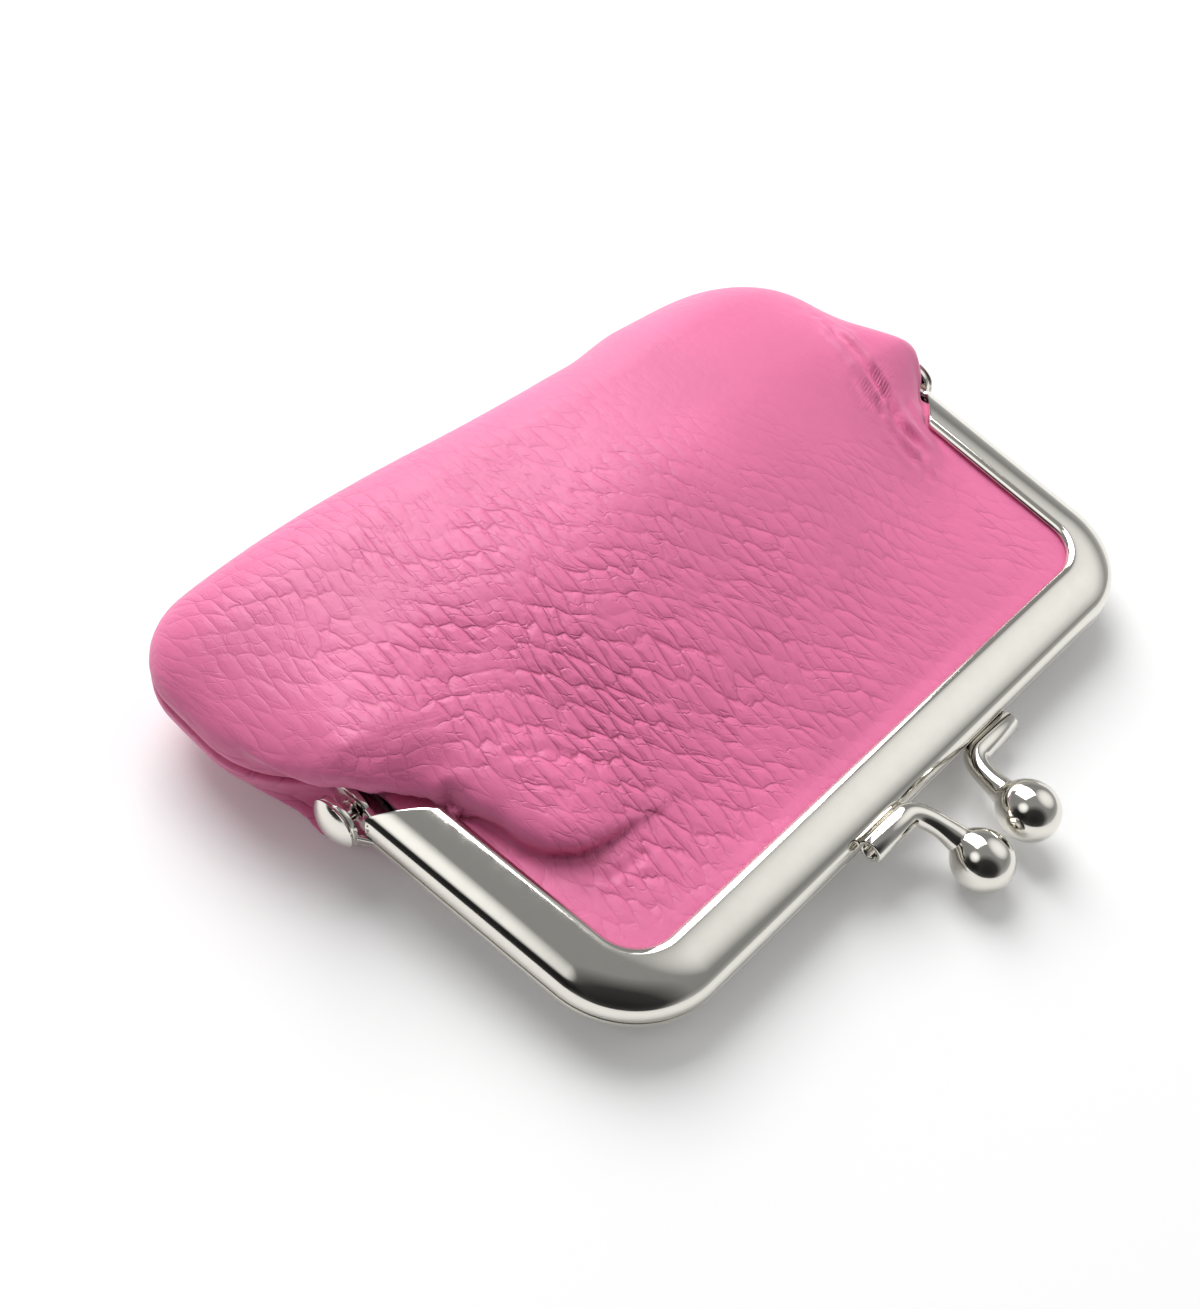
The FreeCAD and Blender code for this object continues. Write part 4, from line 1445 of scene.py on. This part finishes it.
def floor_finish():
    """Pale matt table with a barely uneven tone, lifted to white where it is seen."""
    n = Finish("Pale table")
    base = tuple(sizes("finish").floor)
    n.set("Base Color", n.mixed(n.noise(6.0), base, shade(base, 0.985)))
    n.set("Roughness", 0.9)
    n.set("Specular IOR Level", 0.1)
    rays = n.node("ShaderNodeLightPath")
    seen = n.maths("MAXIMUM", rays.outputs["Is Camera Ray"], rays.outputs["Is Glossy Ray"])
    seen = n.maths("MAXIMUM", seen, rays.outputs["Is Transmission Ray"])
    n.set("Emission Color", (1.0, 1.0, 1.0, 1.0))
    n.set("Emission Strength", n.maths("MULTIPLY", seen, 0.10))
    return n.material


# Operators


class PURSE_OT_frame_halves(bpy.types.Operator):
    """Rolls the two frame halves with their hinge eyes"""

    bl_idname = "purse.frame_halves"
    bl_label = "Frame halves"

    def execute(self, context):
        finish = nickel_finish()
        for name, front in (("front_frame", True), ("rear_frame", False)):
            bm = frame_half(front)
            if not front:
                turned_over(bm, 0.0)
            keep_piece(name + "_plated", bm, finish, FRONT if front else REAR, [name], SHARP)
        return {"FINISHED"}


class PURSE_OT_clasps(bpy.types.Operator):
    """Draws the two clasps from their open feet to their balls"""

    bl_idname = "purse.clasps"
    bl_label = "Clasps"

    def execute(self, context):
        finish = bpy.data.materials["Nickel plate"]
        for name, front in (("front_clasp", True), ("rear_clasp", False)):
            bm = clasp()
            if not front:
                turned_over(bm, sizes("clasp").offset)
            keep_piece(name + "_plated", bm, finish, FRONT if front else REAR, [name], SHARP)
        return {"FINISHED"}


class PURSE_OT_rivets(bpy.types.Operator):
    """Spins the two hinge rivets"""

    bl_idname = "purse.rivets"
    bl_label = "Rivets"

    def execute(self, context):
        finish = bpy.data.materials["Nickel plate"]
        for name, right in (("right_rivet", True), ("left_rivet", False)):
            bm = rivet()
            if not right:
                bmesh.ops.rotate(bm, verts=bm.verts, cent=(0, 0, 0), matrix=Matrix.Rotation(math.pi, 3, "Z"))
            keep_piece(name + "_plated", bm, finish, REAR, [name], SHARP)
        return {"FINISHED"}


class PURSE_OT_leathers(bpy.types.Operator):
    """Shapes the front and rear leather with their folds, grain and turned seam"""

    bl_idname = "purse.leathers"
    bl_label = "Leathers"

    def execute(self, context):
        finish = leather_finish()
        p = sizes("pouch")
        nodes = ["front_leather_upper", "front_leather_fold", "front_leather_lower"]
        for name, rear, stands_for, rests_on in (
            ("front_leather", False, nodes, ["front_frame", "rear_frame"]),
            ("rear_leather_pebbled", True, ["rear_leather"], ["rear_frame"]),
        ):
            bm = leather_sheet(name, rear)
            obj = keep_piece(name, bm, finish, REAR if rear else None, stands_for)
            if not rear:
                across_hinge(obj)
            thicken(obj, p.leather)
        return {"FINISHED"}


class PURSE_OT_linings(bpy.types.Operator):
    """Lays the lining cloth inside the leather"""

    bl_idname = "purse.linings"
    bl_label = "Linings"

    def execute(self, context):
        finish = cloth_finish()
        p = sizes("pouch")
        nodes = ["front_lining_upper", "front_lining_fold", "front_lining_lower"]
        for name, rear, stands_for, rests_on in (
            ("front_lining", False, nodes, ["front_frame", "rear_frame"]),
            ("rear_lining_woven", True, ["rear_lining"], ["rear_frame"]),
        ):
            bm = lining_sheet(name, rear)
            obj = keep_piece(name, bm, finish, REAR if rear else None, stands_for)
            if not rear:
                across_hinge(obj)
            thicken(obj, p.lining)
        return {"FINISHED"}


class PURSE_OT_cords(bpy.types.Operator):
    """Gives the paper cords their finish and sews the seam thread round the pouch"""

    bl_idname = "purse.cords"
    bl_label = "Paper cords and thread"

    def execute(self, context):
        colours = sizes("finish")
        paper = twist_finish("Twisted paper", tuple(colours.paper), 900.0, 0.85)
        thread = twist_finish("Seam thread", tuple(colours.thread), 2200.0, 0.6)
        for name in ("front_paper_cord", "rear_paper_cord"):
            node = frame["nodes"][name]
            node.data.materials.clear()
            node.data.materials.append(paper)
        keep_piece("seam_thread_sewn", seam_thread(), thread, REAR, ["seam_thread"])
        return {"FINISHED"}


class PURSE_OT_stage(bpy.types.Operator):
    """Sets the pale table, the soft light and the camera"""

    bl_idname = "purse.stage"
    bl_label = "Stage"

    def execute(self, context):
        scene = context.scene
        settings = sizes("stage")
        bm = bmesh.new()
        bmesh.ops.create_grid(bm, x_segments=8, y_segments=8, size=settings.table_half)
        mesh = bpy.data.meshes.new("table")
        bm.to_mesh(mesh)
        bm.free()
        mesh.materials.append(floor_finish())
        floor = bpy.data.objects.new("table", mesh)
        scene.collection.objects.link(floor)
        soft_light("key_light", settings.key_place, settings.key_size, settings.key_power)
        soft_light("rim_light", settings.rim_place, settings.rim_size, settings.rim_power)
        room_light(scene)
        camera = bpy.data.objects.new("camera", bpy.data.cameras.new("camera"))
        camera.data.lens = settings.lens
        camera.data.clip_start = settings.camera_near
        camera.location = settings.camera_place
        camera.rotation_euler = Euler(settings.camera_turn)
        scene.collection.objects.link(camera)
        scene.camera = camera
        scene.view_settings.view_transform = "Standard"
        return {"FINISHED"}


def soft_light(name, place, size, power):
    """Square soft box turned to the purse."""
    lamp = bpy.data.lights.new(name, "AREA")
    lamp.shape = "SQUARE"
    lamp.size = size
    lamp.energy = power
    obj = bpy.data.objects.new(name, lamp)
    obj.location = place
    obj.rotation_euler = (-Vector(place)).to_track_quat("-Z", "Y").to_euler()
    bpy.context.scene.collection.objects.link(obj)


# Grey levels of the room from the table's height up, each a place and a level
ROOM_LEVELS = ((0.0, 0.66), (0.10, 0.40), (0.35, 0.26), (0.7, 0.28), (1.0, 0.30))
# Patches of the room: the way to each, its levels from its rim to its middle, and how it is laid on
ROOM_PATCHES = (
    ((-0.66, -0.60, 0.45), ((0.0, 1.0), (0.62, 1.0), (0.84, 0.14), (1.0, 0.08)), "MULTIPLY"),
    ((-0.93, 0.28, 0.24), ((0.0, 1.0), (0.84, 1.0), (0.95, 0.12), (1.0, 0.06)), "MULTIPLY"),
    ((0.68, -0.25, 0.69), ((0.0, 0.0), (0.84, 0.0), (0.95, 0.66), (1.0, 0.80)), "ADD"),
    ((-0.63, 0.30, 0.72), ((0.0, 0.0), (0.94, 0.0), (0.985, 0.9), (1.0, 1.0)), "ADD"),
)


def room_light(scene):
    """Grey room: palest near the table, with two dark patches and two bright ones that the metal mirrors."""
    world = bpy.data.worlds.new("Pale room")
    scene.world = world
    world.use_nodes = True
    tree = world.node_tree
    place = tree.nodes.new("ShaderNodeTexCoord")
    parts = tree.nodes.new("ShaderNodeSeparateXYZ")
    levels = grey_ramp(tree, ROOM_LEVELS)
    tree.links.new(place.outputs["Generated"], parts.inputs["Vector"])
    tree.links.new(parts.outputs["Z"], levels.inputs["Fac"])
    light = levels.outputs["Color"]
    for way, stops, kind in ROOM_PATCHES:
        facing = tree.nodes.new("ShaderNodeVectorMath")
        facing.operation = "DOT_PRODUCT"
        facing.inputs[1].default_value = Vector(way).normalized()
        patch = grey_ramp(tree, stops)
        both = tree.nodes.new("ShaderNodeMix")
        both.data_type = "RGBA"
        both.blend_type = kind
        both.inputs["Factor"].default_value = 1.0
        first, second = (next(s for s in both.inputs if s.name == k and s.type == "RGBA") for k in "AB")
        tree.links.new(place.outputs["Generated"], facing.inputs[0])
        tree.links.new(facing.outputs["Value"], patch.inputs["Fac"])
        tree.links.new(light, first)
        tree.links.new(patch.outputs["Color"], second)
        light = next(s for s in both.outputs if s.type == "RGBA")
    tree.links.new(light, tree.nodes["Background"].inputs["Color"])


def grey_ramp(tree, stops):
    """Ramp of grey levels by place."""
    ramp = tree.nodes.new("ShaderNodeValToRGB")
    while len(ramp.color_ramp.elements) < len(stops):
        ramp.color_ramp.elements.new(1.0)
    for element, (spot, level) in zip(ramp.color_ramp.elements, stops):
        element.position = spot
        element.color = (level, level, level, 1.0)
    return ramp


class PURSE_PT_panel(bpy.types.Panel):
    """Lists the purse's steps and sizes"""

    bl_idname = "PURSE_PT_panel"
    bl_label = "Kiss lock purse"
    bl_space_type = "VIEW_3D"
    bl_region_type = "UI"
    bl_category = "Purse"

    def draw(self, context):
        for operator in OPERATORS:
            self.layout.operator(operator.bl_idname)
        for name, group in GROUPS.items():
            box = self.layout.box()
            box.label(text=name.capitalize())
            for key in group.__annotations__:
                box.prop(sizes(name), key)


GROUPS = {
    "frame": PurseFrameSizes,
    "hinge": PurseHingeSizes,
    "clasp": PurseClaspSizes,
    "pouch": PursePouchSizes,
    "forms": PurseFormSizes,
    "grain": PurseGrainSizes,
    "finish": PurseFinish,
    "stage": PurseStage,
}
OPERATORS = (
    PURSE_OT_frame_halves,
    PURSE_OT_clasps,
    PURSE_OT_rivets,
    PURSE_OT_leathers,
    PURSE_OT_linings,
    PURSE_OT_cords,
    PURSE_OT_stage,
)


def register():
    """Registers the groups, operators and panel."""
    for name, group in GROUPS.items():
        bpy.utils.register_class(group)
        setattr(bpy.types.Scene, "purse_" + name, PointerProperty(type=group))
    for operator in OPERATORS:
        bpy.utils.register_class(operator)
    bpy.utils.register_class(PURSE_PT_panel)


def unregister():
    """Takes everything out again."""
    bpy.utils.unregister_class(PURSE_PT_panel)
    for operator in reversed(OPERATORS):
        bpy.utils.unregister_class(operator)
    for name, group in reversed(GROUPS.items()):
        delattr(bpy.types.Scene, "purse_" + name)
        bpy.utils.unregister_class(group)


def main():
    """Builds the purse and its stage."""
    register()
    for operator in OPERATORS:
        group, name = operator.bl_idname.split(".")
        getattr(getattr(bpy.ops, group), name)()


if __name__ == "__main__":
    main()
